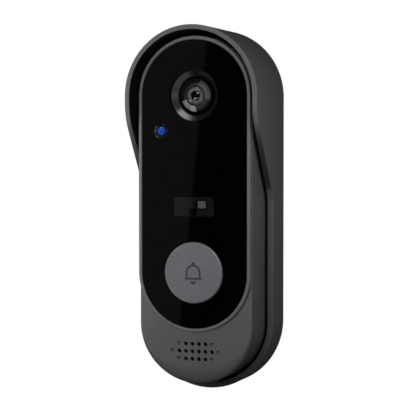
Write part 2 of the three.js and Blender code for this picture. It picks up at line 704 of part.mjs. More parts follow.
function addElectronics() {
  const width = 2 * BOARD.halfWidth;
  const middle = (BOARD.top + BOARD.bottom) / 2;
  const boardShape = rectangle(width, BOARD.top - BOARD.bottom, BOARD.corner, 0, middle);
  place(unit, 'main_board', plate(boardShape, BOARD.back, BOARD.front, 3), MATERIALS.board);
  const canHeight = 2.35;
  const canFront = BOARD.back - 0.2;
  const can = plate(rectangle(24, 7.4, 0.6, -4, 29.2), canFront - canHeight, canFront, 2);
  place(unit, 'radio_shield', can, MATERIALS.steel);
  const antenna = plate(rectangle(20, 5, 1, 0, 60.5), 24.5, 24.9, 3);
  place(unit, 'antenna', antenna, MATERIALS.brass);

  // An oval speaker seals against the back of the grille through a foam ring.
  const speaker = new THREE.Group();
  speaker.position.set(SPEAKER.x, 0, GRILLE.z);
  unit.add(speaker);
  const gasketFront = UNIT.front - UNIT.plate - 0.1;
  const oval = (inset) => (
    rectangle(SPEAKER.width - 2 * inset, SPEAKER.height - 2 * inset, SPEAKER.corner - inset * 0.6)
  );
  const magnetFront = 22.4;
  const basket = cut(
    plate(oval(0), SPEAKER.back, SPEAKER.front, 3),
    plate(oval(SPEAKER.rim), magnetFront, SPEAKER.front + 1, 3),
  );
  place(speaker, 'speaker_frame', basket, MATERIALS.chip);
  const cone = plate(oval(SPEAKER.rim + GAP), magnetFront + 0.6, SPEAKER.front - 0.6, 3);
  place(speaker, 'speaker_diaphragm', cone, MATERIALS.black);
  const gasketShape = withHoles(oval(0), oval(SPEAKER.rim));
  const gasket = plate(gasketShape, SPEAKER.front + 0.15, gasketFront, 3);
  place(speaker, 'speaker_gasket', gasket, MATERIALS.foam);

  // The microphone listens through the last open hole on the right of the middle row.
  const soundHole = [2.5 * GRILLE.holePitch, 0, GRILLE.z];
  const capsule = { radius: 2, bore: 1.1, back: 20.6, front: 22.4 };
  const bootBack = capsule.front + 0.2;
  const boot = turnedRing([
    [capsule.bore, gasketFront], [capsule.radius, gasketFront], [capsule.radius, bootBack],
    [capsule.bore, bootBack],
  ], 12);
  place(unit, 'microphone_boot', boot, MATERIALS.rubber, soundHole);
  const microphone = turned([
    [0, capsule.front], [capsule.radius, capsule.front], [capsule.radius, capsule.back],
    [0, capsule.back],
  ], 12);
  place(unit, 'microphone', microphone, MATERIALS.steel, soundHole);
}

addElectronics();

// ---------------------------------------------------------------- battery

function addBattery() {
  const top = CELL.bottom + CELL.length;
  const R = CELL.radius;
  const round = 0.5;
  const nub = { radius: 2.8, height: 0.8 };
  for (const [name, side] of [['battery_cell_left', -1], ['battery_cell_right', 1]]) {
    const form = new THREE.LatheGeometry([
      [0, 0], [R - round, 0], [R, round], [R, CELL.length - round], [R - round, CELL.length],
      [nub.radius, CELL.length], [nub.radius, CELL.length + nub.height], [0, CELL.length + nub.height],
    ].map(([r, z]) => new THREE.Vector2(r, z)), 16);
    place(unit, name, form, MATERIALS.cell, [side * CELL.x, -CELL.depth, CELL.bottom], ALONG_Z);
  }
  const strip = { halfWidth: 15.5, depths: [9.5, 19.5], thickness: 0.4 };
  const contact = (z) => (
    block([-strip.halfWidth, strip.halfWidth], strip.depths, [z, z + strip.thickness])
  );
  place(unit, 'battery_contact_top', contact(top + nub.height + GAP), MATERIALS.nickel);
  const lowContact = contact(CELL.bottom - strip.thickness - GAP);
  place(unit, 'battery_contact_bottom', lowContact, MATERIALS.nickel);

  const tray = { halfWidth: 18.8, back: 5.5, front: 20, wall: 1.4, railX: 17.6, railFront: 7.6 };
  const topWall = top + nub.height + 1;
  const lowWall = CELL.bottom - 1 - tray.wall;
  const endWall = (z) => (
    block([-tray.halfWidth, tray.halfWidth], [tray.back, tray.front], [z, z + tray.wall])
  );
  const railSpan = [lowWall + tray.wall / 2, topWall + tray.wall / 2];
  const rail = (x) => block([x - 1, x + 1], [tray.back, tray.railFront], railSpan);
  const frame = join(endWall(topWall), endWall(lowWall), rail(0), rail(tray.railX), rail(-tray.railX));
  place(unit, 'battery_tray', frame, MATERIALS.black);
}

addBattery();

// ---------------------------------------------------------------- charging port and reset

function addPowerBoard() {
  const power = new THREE.Group();
  power.position.z = POWER.z;
  unit.add(power);
  const boardShape = rectangle(2 * POWER.halfWidth, 2 * POWER.halfHeight, 0.8);
  const boardBack = POWER.depth;
  const board = plate(boardShape, boardBack, boardBack + POWER.thickness, 2);
  place(power, 'power_board', board, MATERIALS.board);

  // An oval metal receptacle with a tongue down its middle.
  const seat = boardBack - 0.2;
  const rounded = (width, height) => rectangle(width, height, height * 0.47);
  const bore = [PORT.width - 2 * PORT.wall, PORT.height - 2 * PORT.wall];
  const mouth = cut(
    plate(rounded(PORT.width, PORT.height), PORT.back, seat, 3),
    plate(rounded(...bore), PORT.back - 1, seat - 1.2, 3),
  );
  const tongue = { halfWidth: 3.3, halfHeight: 0.35, back: PORT.back + 0.6 };
  const blade = block(
    [-tongue.halfWidth, tongue.halfWidth],
    [tongue.back, seat - 0.8],
    [-tongue.halfHeight, tongue.halfHeight],
  );
  place(power, 'charging_port', join(mouth, blade), MATERIALS.steel);

  // A rubber flap in a recess of the rear cover, with a lip that fills the port's opening.
  const flap = join(
    plate(rounded(FLAP.width, FLAP.height), FLAP.back, FLAP.front, 4),
    plate(rounded(PORT.width + 0.3, PORT.height + 0.4), FLAP.front - 0.2, PORT.back - 0.25, 3),
  );
  place(power, 'port_flap', flap, MATERIALS.rubber);

  const resetBase = plate(rectangle(4.6, 4.6, 0.4, RESET.x), 9, seat, 2);
  const contactDepth = 9.9;
  const resetSwitch = cut(resetBase, plate(disc(RESET.radius + 0.4, RESET.x), 8.5, contactDepth, 8));
  place(power, 'reset_switch', resetSwitch, MATERIALS.chip);
  const keyBack = UNIT.back + GAP;
  const keyEnd = contactDepth - RESET.travel - 0.1;
  const key = turned([
    [0, keyBack], [RESET.radius - 0.2, keyBack], [RESET.radius, keyBack + 0.2],
    [RESET.radius, keyEnd], [0, keyEnd],
  ], 12);
  place(power, 'reset_button', key, MATERIALS.black, [RESET.x, 0, 0]);
}

addPowerBoard();

// ---------------------------------------------------------------- rear cover

function addRearCover() {
  const front = UNIT.back + COVER.thickness;
  const outside = UNIT.back - 1;
  const through = [outside, front + 1];
  const flapRecess = rectangle(FLAP.width + 0.6, FLAP.height + 0.6, 3.2, 0, POWER.z);
  const portOpening = rectangle(PORT.width + 0.9, PORT.height + 0.9, 1.9, 0, POWER.z);
  const headSink = { radius: SCREW.head + 0.4, front: SCREW.headFront + 0.15 };
  const cover = cut(
    plate(pill(COVER.halfWidth, COVER.bottom, COVER.top), UNIT.back, front, 8),
    plate(flapRecess, outside, FLAP.front + GAP, 4),
    plate(portOpening, ...through, 3),
    plate(disc(RESET.radius + GAP, RESET.x, POWER.z), ...through, 8),
    ...SCREW_PLACES.map(({ x, z }) => plate(disc(headSink.radius, x, z), outside, headSink.front, 6)),
    ...SCREW_PLACES.map(({ x, z }) => plate(disc(SCREW.shank + GAP, x, z), ...through, 5)),
  );
  place(unit, 'rear_cover', cover, MATERIALS.black);
  const sealShape = withHoles(insetPill(2.2, 6.5), insetPill(3.3, 7.6));
  place(unit, 'rear_seal', plate(sealShape, front + 0.15, 6.05, 8), MATERIALS.rubber);

  SCREW_PLACES.forEach(({ x, z }, i) => {
    const blank = turned([
      [0, SCREW.headBack], [SCREW.head - 0.3, SCREW.headBack], [SCREW.head, SCREW.headBack + 0.3],
      [SCREW.head, SCREW.headFront], [SCREW.shank, SCREW.headFront], [SCREW.shank, SCREW.tip - 0.6],
      [SCREW.shank - 0.4, SCREW.tip], [0, SCREW.tip],
    ], 10);
    const slotLength = 2.4;
    const slotWidth = 0.5;
    const slots = [[slotLength, slotWidth], [slotWidth, slotLength]].map(([width, height]) => (
      new THREE.BoxGeometry(width, 1.4, height).translate(0, -SCREW.headBack, 0)
    ));
    place(unit, `cover_screw_${i + 1}`, cut(blank, ...slots), MATERIALS.steel, [x, 0, z]);
  });
}

addRearCover();

export default doorbell;
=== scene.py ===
"""Looks of a video doorbell: a pill-shaped battery unit in a hooded wall shell.

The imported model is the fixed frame. Lengths below are in millimetres unless a name says otherwise,
and MM turns them into metres. -Y points out of the wall, so a depth of 10 is Y = -10 mm.
"""

import json
import math
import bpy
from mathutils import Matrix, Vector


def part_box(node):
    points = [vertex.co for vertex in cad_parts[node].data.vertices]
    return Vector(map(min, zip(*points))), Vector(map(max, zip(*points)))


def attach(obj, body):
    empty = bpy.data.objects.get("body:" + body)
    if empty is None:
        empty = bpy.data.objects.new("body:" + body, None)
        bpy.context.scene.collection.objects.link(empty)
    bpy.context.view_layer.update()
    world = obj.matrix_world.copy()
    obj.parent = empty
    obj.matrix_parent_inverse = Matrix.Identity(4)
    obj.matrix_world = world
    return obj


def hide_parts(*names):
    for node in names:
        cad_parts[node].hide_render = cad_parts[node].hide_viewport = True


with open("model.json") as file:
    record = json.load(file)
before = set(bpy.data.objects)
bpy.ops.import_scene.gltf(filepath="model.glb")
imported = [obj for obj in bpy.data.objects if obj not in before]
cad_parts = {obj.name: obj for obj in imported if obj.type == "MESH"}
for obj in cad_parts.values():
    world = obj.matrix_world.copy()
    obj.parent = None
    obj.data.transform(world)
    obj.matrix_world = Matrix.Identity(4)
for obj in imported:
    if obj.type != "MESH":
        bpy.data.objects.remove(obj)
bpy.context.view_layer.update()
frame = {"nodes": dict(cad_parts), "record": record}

from types import SimpleNamespace

import bmesh
import bpy
from mathutils import Vector

MM = 0.001

# ------------------------------------------------ driving values

VIEW_AZIMUTH = math.radians(20.893)
VIEW_ELEVATION = math.radians(2.348)
VIEW_DISTANCE = 578.75
VIEW_LENS = 121.5
VIEW_AIM_LEFT = 4.861
VIEW_AIM_DOWN = 0.184

SMOOTH_ANGLE = math.radians(40)
WELD_DISTANCE = 0.002
ARC_STEPS = 72
LATHE_SEGMENTS = 128
ROD_SEGMENTS = 48
FILLET_STEPS = 5
GAP = 0.3
PAST = 1.0  # how far a cutting tool runs past a face
PAST_FLOOR = 1.6  # the same, over the shell's rounded floor


def extent(node):
    """A CAD node's box in millimetres. Its back and front are depths."""
    low, high = ([value / MM for value in corner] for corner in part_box(node))
    return SimpleNamespace(
        x=(low[0] + high[0]) / 2, half_width=(high[0] - low[0]) / 2, back=-high[1], front=-low[1],
        z=(low[2] + high[2]) / 2, bottom=low[2], top=high[2],
    )


SHELL = extent("rain_shell")
SHELL_LIP = 13.5
SHELL_FLOOR = 2.4
SHELL_WALL = 2.45
SHELL_DRAFT = math.radians(1.5)
SHELL_ROUND = 0.25
SHELL_FLOOR_ROUND = 0.5
SHELL_BACK_REACH = 5.0
SHELL_FLOOR_REACH = 3.0
RIB_FRONT = 9.0
RIB_HALF_HEIGHT = 2.0
RIB_ZS = (-28, 28)
RIB_TO_UNIT = 0.5
PAD_RADIUS = 4.0
PAD_XS = (-13, 13)
PAD_ZS = (-34, 34)
WALL_SCREW_ZS = (-48, 48)
WALL_SCREW_RADIUS = 2.2
WALL_SCREW_HEAD_RADIUS = 4.2
WALL_SCREW_SINK = (0.6, SHELL_FLOOR + 0.2)
CLAMP_DEPTH = 7.5
CLAMP_BOSS_HALF_WIDTH = 4.0
CLAMP_BOSS_FRONT = 11.5
CLAMP_BOSS_TOP = -66.2
INSERT_RADIUS = 2.35
INSERT_LENGTH = 4.2
TOOL_HOLE_RADIUS = 1.9
TOOL_HOLE_LENGTH = 6.0

SWEEP_ANGLE = math.radians(32.2)
SWEEP_LOW_CORNER = 4.7
SWEEP_LOW_RADIUS = 10.0
SWEEP_HIGH_RADIUS = 20.0
SWEEP_STEPS = 40
# Painted shade on the leaning rim: the darkening fades in over the first heights and out over the
# second. Its darkest factors are those on the left and on the right.
RIM_PAINTED_SHADE_TOP = (26, 35)
RIM_PAINTED_SHADE_FOOT = (9.5, 7.5)
RIM_PAINTED_SHADES = (0.62, 0.26)
RIM_PAINTED_SHADE_XS = (-5, 5)
RIM_FACING = (-0.3, -0.2)  # the leaning faces' normals have less than these along Y and Z
FLOOR_SLACK = 0.1  # allowed where faces are picked by place
WALL_SLACK = 0.05

UNIT = extent("front_housing")
UNIT_WALL = 1.8
UNIT_INNER_FRONT = UNIT.front - 2.0
POCKET = UNIT.front - 0.6
EDGE_ROUND = 0.3
UNIT_BACK_REACH = 3.0
CHIN_ROLL_WIDTH = 7.0
CHIN_ROLL_DEPTH = 2.0
CHIN_ROLL_STEPS = 12
CAVITY_BACK = 7.4
LEDGE_INSET = 3.6
LEDGE_BOTTOM_INSET = 8.0
LEDGE_DEPTHS = (5, 8)
COVER = extent("rear_cover")
COVER_GAP = 0.27
COVER_SEAT = 6.2
# The notch in the unit's foot that the shell's clamp boss reaches into.
NOTCH_HALF_WIDTH = 5.0
NOTCH_FRONT = 12.5
NOTCH_ZS = (-72, -65.5)
SCREWS = [extent(f"cover_screw_{number}") for number in range(1, 5)]
POST_RADIUS = 2.7
POST_BACK = 6.3
PILOT_RADIUS = 1.45
PILOT_DEPTHS = (5, 13.5)

BEZEL = extent("bezel_frame")
BEZEL_RIM = 1.33
BEZEL_LEDGE = 1.6
GROOVE_REACH = 0.3
GROOVE_DEPTH = 0.5
PANEL = extent("front_panel")
PANEL_GLUE = 0.25
PANEL_REACH = 4.0
PANEL_FIT = 0.1
HOLE_EDGE = 0.1

FLANGE = 1.2
RING = extent("camera_trim_ring")
RING_RADIUS = RING.half_width - FLANGE
THROAT_RADIUS = 7.5
THROAT_DEPTH = 26.2
DOME = extent("lens_dome")
DOME_WALL = 0.55
DOME_CLEAR_RADIUS = 4.1
DOME_STEPS = 24
PRINT_RADIUS = 6.35
PRINT_FRONT = 28.58
PRINT_TILT = math.radians(22.5)
PRINT_SKIN = 0.02
PRINT_SHIFT = 0.35
PRINT_STEPS = 8
PRINT_SHOULDER = ((0.25, -0.3), (0.35, 0.3))  # beyond the cone's edge, and above the dome's foot
# A painted halo of light: the print's colour fades between these distances from a centre off the lens's axis.
PRINT_PAINTED_HALO = (3.1, 6.1)
PRINT_HALO_X = 1.1
PRINT_HALO_RISE = -0.5
PRINT_HALO_LOW = 0.04
NOSE = extent("lens_retainer")
NOSE_BORE = 2.0
# A painted halo of light: the nose's grey fades out between these distances from the lens's axis.
NOSE_PAINTED_HALO = (2.9, 4.6)
# The nose's face from its bore outwards: radius, depth below the front, rounding.
NOSE_FACE = (
    (NOSE_BORE, 0.48, 0.04), (2.4, 0.31, 0.02), (2.4, 0.45, 0), (2.7, 0.33, 0), (2.7, 0.18, 0.02),
    (3.1, 0, 0.2), (3.85, 0.25, 0.5), (NOSE.half_width, 0.7, 0.2),
)
GLASS = extent("lens_front_element")
GLASS_BULGE = 0.95
GLASS_STEPS = 16

CUP = extent("status_cup")
CUP_HOLE_MARGIN = 0.4
CUP_HOLE_EDGE = 0.04
CUP_SLOPE_WIDTH = 0.2
CUP_STEP = 0.1
GUIDE = extent("status_light_guide")
WINDOW = extent("sensor_window")
WINDOW_HOLE_MARGIN = 0.5
WINDOW_CORNER = 1.0
WINDOW_CORNER_STEPS = 8
HOLDER = extent("sensor_holder")
EMITTER = extent("infrared_emitter")
PLATE_LAYER = (HOLDER.front + 0.01, HOLDER.front + 0.05)
PLATE_INSET = 0.1
MASK_LAYER = (HOLDER.front + 0.07, HOLDER.front + 0.12)
MASK_XS = (0.55, 5.3)
MASK_ZS = (EMITTER.bottom - 0.45, EMITTER.top + 0.4)
MASK_CORNER_XS = (-2.3, 0.9)
MASK_CORNER_ZS = (-2.1, EMITTER.bottom - 0.2)

BUTTON = extent("button_cap")
BUTTON_FLANGE = 1.3
BUTTON_RADIUS = BUTTON.half_width - BUTTON_FLANGE
BUTTON_WALL = 1.35
BUTTON_FLANGE_DEPTH = 0.65
BUTTON_RECESS_REACH = 1.75
BUTTON_RECESS_FRONT = 26.3
BUTTON_FIT = 0.25
BUTTON_STEM_RADIUS = 2.2
BUTTON_STEM_BACK = 27.5
BUTTON_DISH = 0.12
DISH_STEPS = 12

# The bell mark, about the button's centre.
BELL_LINE = 0.72
BELL_HALF_WIDTH = 3.15
BELL_TOP = 3.25
BELL_BRIM = (-2.62, -1.9)
BELL_BRIM_HALF_WIDTH = 3.95
BELL_KNOB_TOP = 4.55
BELL_KNOB_SIDE = 0.25  # how far the knob's shoulder lies below its top
BELL_KNOB_HALF_WIDTHS = (0.95, 0.35)
BELL_CLAPPER_Z = -3.3
BELL_CLAPPER_RADIUS = 1.2
BELL_OVERLAP = 0.1
BELL_HOLLOW_RISE = BELL_LINE * 0.3
BELL_STEPS = 32
CLAPPER_STEPS = 20
MARK_RISE = 0.03
MARK_ROOT = 0.05

GRILLE_Z = -56.0
GRILLE_ROW_PITCH = 3.0
GRILLE_HOLE_PITCH = 2.76
GRILLE_RADIUS = 0.78
GRILLE_BLIND_DEPTH = 0.5
GRILLE_ROWS = ((1, 6), (0, 8), (-1, 6))  # each row's place and its number of holes
GRILLE_SEGMENTS = 32

# ------------------------------------------------ lamps, cards and floor

RING_PIECES = ("camera_trim", "status_bezel")
PRINT_PIECES = ("dome_print",)
LENS_PIECES = ("dome_glass", "front_glass")
PANEL_PIECES = ("panel_sheet", "sensor_window")
BUTTON_PIECES = ("button_moulding",)
CAMERA_POINT = (0, -29, 45)
BUTTON_POINT = (0, -28, -24)

# Each lamp: name, azimuth, elevation, distance, width and height in metres, radiance, target and
# the pieces that don't see it. A polished piece would mirror the lamp itself.
MIRRORS = PRINT_PIECES + LENS_PIECES
ALL_MIRRORS = MIRRORS + PANEL_PIECES
LAMPS = [
    ("key", -20, 30, 1.2, 0.8, 0.8, 2.9, (0, 0, 0), MIRRORS),
    ("near_left", -48, 0, 0.1275, 0.04, 0.12, 5.1, (0, -15, 0), ALL_MIRRORS),
    ("near_left_high", -48, 25, 0.14, 0.04, 0.12, 0.8, (0, -15, 20), ALL_MIRRORS),
    ("near_right", 46.6, 9.2, 0.1254, 0.10, 0.16, 1.6, (0, -15, 30), ALL_MIRRORS),
    ("near_side", 63.4, 0, 0.1006, 0.04, 0.12, 1.4, (0, -15, 0), ALL_MIRRORS),
]
# These two show in no gloss.
BACK_LAMP = ("back", 180, 5, 1.2, 0.7, 0.7, 4.0, (0, 0, 0))
PRINT_FILL = ("print_fill", -40, 40, 0.6, 0.3, 0.3, 6.0, (0, 0, 0))

# Cards show only in the gloss of the pieces named last. Before those is the card's roll in degrees.
CARDS = [
    ("ring_card", 13, 58, 1.2, 0.9, 0.5, 21.0, CAMERA_POINT, 0, RING_PIECES),
    ("ring_low_card", 27, -47, 0.3, 0.36, 0.24, 2.7, CAMERA_POINT, 0, RING_PIECES),
    ("ring_side_card", 54, 0, 0.3, 0.12, 0.12, 2.5, CAMERA_POINT, 0, RING_PIECES),
    ("button_card", 64, 40, 0.35, 0.18, 0.32, 20.0, BUTTON_POINT, 0, BUTTON_PIECES),
    ("lobe_card", 9.5, 19, 0.6, 0.74, 0.42, 0.85, CAMERA_POINT, -52, PRINT_PIECES),
    ("left_card", -61, -21, 0.35, 0.145, 0.18, 2.8, CAMERA_POINT, -68, PRINT_PIECES),
    ("low_card", -41.3, -39.6, 0.35, 0.13, 0.18, 4.0, CAMERA_POINT, -28, PRINT_PIECES),
    ("pupil_card", 23, 53, 1.2, 0.5, 0.5, 16.0, CAMERA_POINT, 0, LENS_PIECES),
    ("glint_card", -64, -44, 0.35, 0.22, 0.13, 12.0, CAMERA_POINT, -10, LENS_PIECES),
]

# The dim card whose leaning edge crosses the panel.
PANEL_CARD_EDGE = -236.0
PANEL_CARD_DEPTH = 629.0
PANEL_CARD_LEAN = math.radians(5.9)
PANEL_CARD_WIDTH = 120.0
PANEL_CARD_HEIGHT = 500.0
PANEL_CARD_RADIANCE = 0.10

# The photo shows no shadow of these on the chin.
SHADOWLESS_PIECES = ("bezel_moulding", "panel_sheet")

BACKDROP_IN_GLOSS = 0.05
BACKDROP_RISE = 0.6  # the backdrop is whole where a ray's direction has this much of Y
WORLD_FILL = 0.005
FLOOR_Z = -280.0
FLOOR_RADIUS = 0.8  # in metres
FLOOR_STEPS = 96
FLOOR_FADE = (0.35, 0.95)  # shares of the radius
FLOOR_COLOR = (0.8, 0.8, 0.8)
FLOOR_LAMP = ("floor_lamp", 0, 80, 1.3, 1.0, 1.0, 4.0, (0, 0, FLOOR_Z))

# ------------------------------------------------ slots, bodies and looks

SLOTS = {part["node"]: part["material_slot"] for part in frame["record"]["subparts"]}
BODIES = {node: body for body, nodes in frame["record"]["behaviour"]["bodies"].items() for node in nodes}
# A node whose look isn't its slot's.
LOOKS = {
    "lens_dome": "coated_glass",
    # The front element is opaque: its black is painted shade for the dark lens behind it, and its gloss is
    # its own.
    "lens_front_element": "black_glass",
    # The lens retainer: its own grey, faded out as a painted halo of light.
    "lens_retainer": "nose_grey",
    "lens_barrel": "matt_black",
    "lens_holder": "matt_black",
    # The emitter's grey is raised well above its own colour: painted light through the smoked window.
    "infrared_emitter": "emitter_grey",
}
SLOT_COLORS = {material["slot"]: material["base_color"] for material in frame["record"]["materials"]}
GLASS_COLOR = (0.93, 0.95, 0.97)
# The record's colours, with those of the other looks and of slots that the photo shows otherwise.
COLORS = SLOT_COLORS | {
    # Painted shade: the leaning rim's copy of the shell's colour, darkened in its material.
    "shell_rim": SLOT_COLORS["shell_plastic"],
    "panel_black": (0.001, 0.001, 0.0011),
    "trim_plastic": (0.005, 0.005, 0.0055),
    "button_plastic": (0.113, 0.118, 0.127),
    # The lens retainer's grey, which carries a painted halo of light round the lens.
    "nose_grey": (0.060, 0.060, 0.061),
    # Matt black: the lens barrel's, lens holder's and sensor mask's own colour, and painted shade inside the
    # shell.
    "matt_black": (0.003, 0.003, 0.003),
    # Grey of the plate in the window bays, raised as painted light where the deep bays get little.
    "bay_grey": (0.052, 0.052, 0.053),
    # Painted light: the emitter's grey, raised far above its own colour.
    "emitter_grey": (0.72, 0.72, 0.72),
    "mark_grey": (0.032, 0.033, 0.034),
    "lens_glass": GLASS_COLOR,
    "coated_glass": GLASS_COLOR,
    "smoked_window": (0.42, 0.42, 0.43),
    # The dome's black print, painted grey near the lens as a halo of light.
    "black_print": (0.24, 0.24, 0.24),
    # Painted shade: the opaque front element's black stands for the dark lens behind it.
    "black_glass": (0.0015, 0.0015, 0.002),
}

# ------------------------------------------------ shader helpers

CLOUD_SIZE = 9.0
SMEAR_SIZE = 14.0
WAVE_SIZE = 16.0
SCRATCH_SIZE = 0.25


def add(tree, kind, settings=None, inputs=None):
    """Adds a node. An input's value is a plain value or the socket that feeds it."""
    made = tree.nodes.new(kind)
    for key, value in (settings or {}).items():
        setattr(made, key, value)
    for key, value in (inputs or {}).items():
        if isinstance(value, bpy.types.NodeSocket):
            tree.links.new(value, made.inputs[key])
        else:
            made.inputs[key].default_value = value
    return made


def new_tree(name):
    """A material with its empty node tree, and the object-space position."""
    material = bpy.data.materials.new(name)
    material.use_nodes = True
    tree = material.node_tree
    tree.nodes.clear()
    place = add(tree, "ShaderNodeTexCoord").outputs["Object"]
    return material, tree, place


def noise(tree, place, feature, detail=2.0, roughness=0.5):
    """Noise whose features are about this many millimetres across."""
    inputs = {"Vector": place, "Scale": 1 / (feature * MM), "Detail": detail, "Roughness": roughness}
    return add(tree, "ShaderNodeTexNoise", inputs=inputs).outputs["Fac"]


def ramp(tree, value, low, high):
    """Maps noise between about 0.3 and 0.7 onto low to high."""
    inputs = {"Value": value, "From Min": 0.3, "From Max": 0.7, "To Min": low, "To Max": high}
    return add(tree, "ShaderNodeMapRange", inputs=inputs).outputs["Result"]


def tinted(tree, place, name, factor, shade=None):
    """A look's colour made darker or brighter by a factor from nodes, and by its painted light and shade if
    it has any.
    """
    if shade:
        factor = math_node(tree, "MULTIPLY", factor, shade(tree, place))
    inputs = {0: COLORS[name][:3], "Scale": factor}
    return add(tree, "ShaderNodeVectorMath", {"operation": "SCALE"}, inputs).outputs["Vector"]


def grain_bump(tree, place, feature, height):
    """A fine moulded grain: a normal from noise of this feature size and height in millimetres."""
    height_map = noise(tree, place, feature, detail=3.0)
    inputs = {"Strength": 1.0, "Distance": height * MM, "Height": height_map}
    return add(tree, "ShaderNodeBump", inputs=inputs).outputs["Normal"]


def step(tree, value, start, end, low=0.0, high=1.0, unit=MM):
    """A smooth step from low to high between two values, in millimetres unless a unit is given."""
    inputs = {"Value": value, "From Min": start * unit, "From Max": end * unit, "To Min": low, "To Max": high}
    return add(tree, "ShaderNodeMapRange", {"interpolation_type": "SMOOTHSTEP"}, inputs).outputs["Result"]


def math_node(tree, operation, first, second, third=0.0):
    return add(tree, "ShaderNodeMath", {"operation": operation}, {0: first, 1: second, 2: third}).outputs[0]


def show_mix(tree, share, first, second):
    """Ends a material in a mix of two shaders, with this share of the second."""
    inputs = {0: share, 1: first.outputs["BSDF"], 2: second.outputs["BSDF"]}
    mixed = add(tree, "ShaderNodeMixShader", inputs=inputs).outputs["Shader"]
    add(tree, "ShaderNodeOutputMaterial", inputs={"Surface": mixed})


def radial_painted_halo(tree, place, x, z, fade, low):
    """Painted halo: falls from 1 to low with the distance from an axis along Y."""
    settings, inputs = {"operation": "MULTIPLY_ADD"}, {0: place, 1: (1, 0, 1), 2: (-x * MM, 0, -z * MM)}
    across = add(tree, "ShaderNodeVectorMath", settings, inputs).outputs["Vector"]
    radius = add(tree, "ShaderNodeVectorMath", {"operation": "LENGTH"}, {0: across}).outputs["Value"]
    return step(tree, radius, *fade, 1.0, low)


def painted_nose_halo(tree, place):
    """Painted halo of light: the lens surround's colour fades away from the lens."""
    return radial_painted_halo(tree, place, 0, NOSE.z, NOSE_PAINTED_HALO, 0.0)


def painted_print_halo(tree, place):
    """Painted halo of light: the print round the dome fades from grey to black, later at the lower right."""
    return radial_painted_halo(tree, place, PRINT_HALO_X, NOSE.z + PRINT_HALO_RISE, PRINT_PAINTED_HALO, PRINT_HALO_LOW)


def painted_rim_shade(tree, place):
    """Painted shade: the shell's leaning rim is darker along the middle of its slope, more so on the right.
    """
    x, _, z = add(tree, "ShaderNodeSeparateXYZ", inputs={0: place}).outputs
    lit = math_node(tree, "MAXIMUM", step(tree, z, *RIM_PAINTED_SHADE_TOP), step(tree, z, *RIM_PAINTED_SHADE_FOOT))
    dark = step(tree, x, *RIM_PAINTED_SHADE_XS, *RIM_PAINTED_SHADES)
    return math_node(tree, "MULTIPLY_ADD", math_node(tree, "SUBTRACT", 1.0, dark), lit, dark)


def moulded(name, roughness, grain=0.006, grain_size=0.28, spread=0.05, specular=0.5, shade=None):
    """Moulded plastic or rubber: a fine grain, with faint cloudiness in its colour and gloss."""
    material, tree, place = new_tree(name)
    cloud = noise(tree, place, CLOUD_SIZE, detail=4.0)
    shader = add(tree, "ShaderNodeBsdfPrincipled", inputs={
        "Base Color": tinted(tree, place, name, ramp(tree, cloud, 1 - spread, 1 + spread), shade),
        "Roughness": ramp(tree, cloud, roughness * 0.94, roughness * 1.06),
        "Normal": grain_bump(tree, place, grain_size, grain),
        "Specular IOR Level": specular,
    })
    add(tree, "ShaderNodeOutputMaterial", inputs={"Surface": shader.outputs["BSDF"]})
    return material


def polished(name, roughness, waviness=0.0006, ior=1.5, shade=None):
    """Polished plastic: near-flat, with a trace of waviness and faint smears in its gloss."""
    material, tree, place = new_tree(name)
    smear = noise(tree, place, SMEAR_SIZE, detail=5.0, roughness=0.6)
    shader = add(tree, "ShaderNodeBsdfPrincipled", inputs={
        "Base Color": tinted(tree, place, name, ramp(tree, smear, 0.95, 1.05), shade),
        "Roughness": ramp(tree, smear, roughness * 0.8, roughness * 1.2),
        "Normal": grain_bump(tree, place, WAVE_SIZE, waviness),
        "IOR": ior,
    })
    add(tree, "ShaderNodeOutputMaterial", inputs={"Surface": shader.outputs["BSDF"]})
    return material


def metal(name, roughness, brush=(1, 1, 1)):
    """Metal with fine scratches, drawn out along an axis by a brush factor under 1."""
    material, tree, place = new_tree(name)
    along = add(tree, "ShaderNodeVectorMath", {"operation": "MULTIPLY"}, {0: place, 1: brush})
    scratches = noise(tree, along.outputs["Vector"], SCRATCH_SIZE, detail=4.0)
    shader = add(tree, "ShaderNodeBsdfPrincipled", inputs={
        "Base Color": tinted(tree, place, name, ramp(tree, scratches, 0.9, 1.08)),
        "Metallic": 1.0,
        "Roughness": ramp(tree, scratches, roughness * 0.75, roughness * 1.25),
    })
    add(tree, "ShaderNodeOutputMaterial", inputs={"Surface": shader.outputs["BSDF"]})
    return material


def clear(name, roughness, ior=1.5):
    """Clear plastic or glass. Light from lamps passes through it to what it covers."""
    material, tree, _ = new_tree(name)
    tint = (*COLORS[name], 1.0)
    glass = add(tree, "ShaderNodeBsdfPrincipled", inputs={
        "Base Color": tint,
        "Roughness": roughness,
        "IOR": ior,
        "Transmission Weight": 1.0,
    })
    see_through = add(tree, "ShaderNodeBsdfTransparent", inputs={"Color": tint})
    is_shadow = add(tree, "ShaderNodeLightPath").outputs["Is Shadow Ray"]
    show_mix(tree, is_shadow, glass, see_through)
    return material


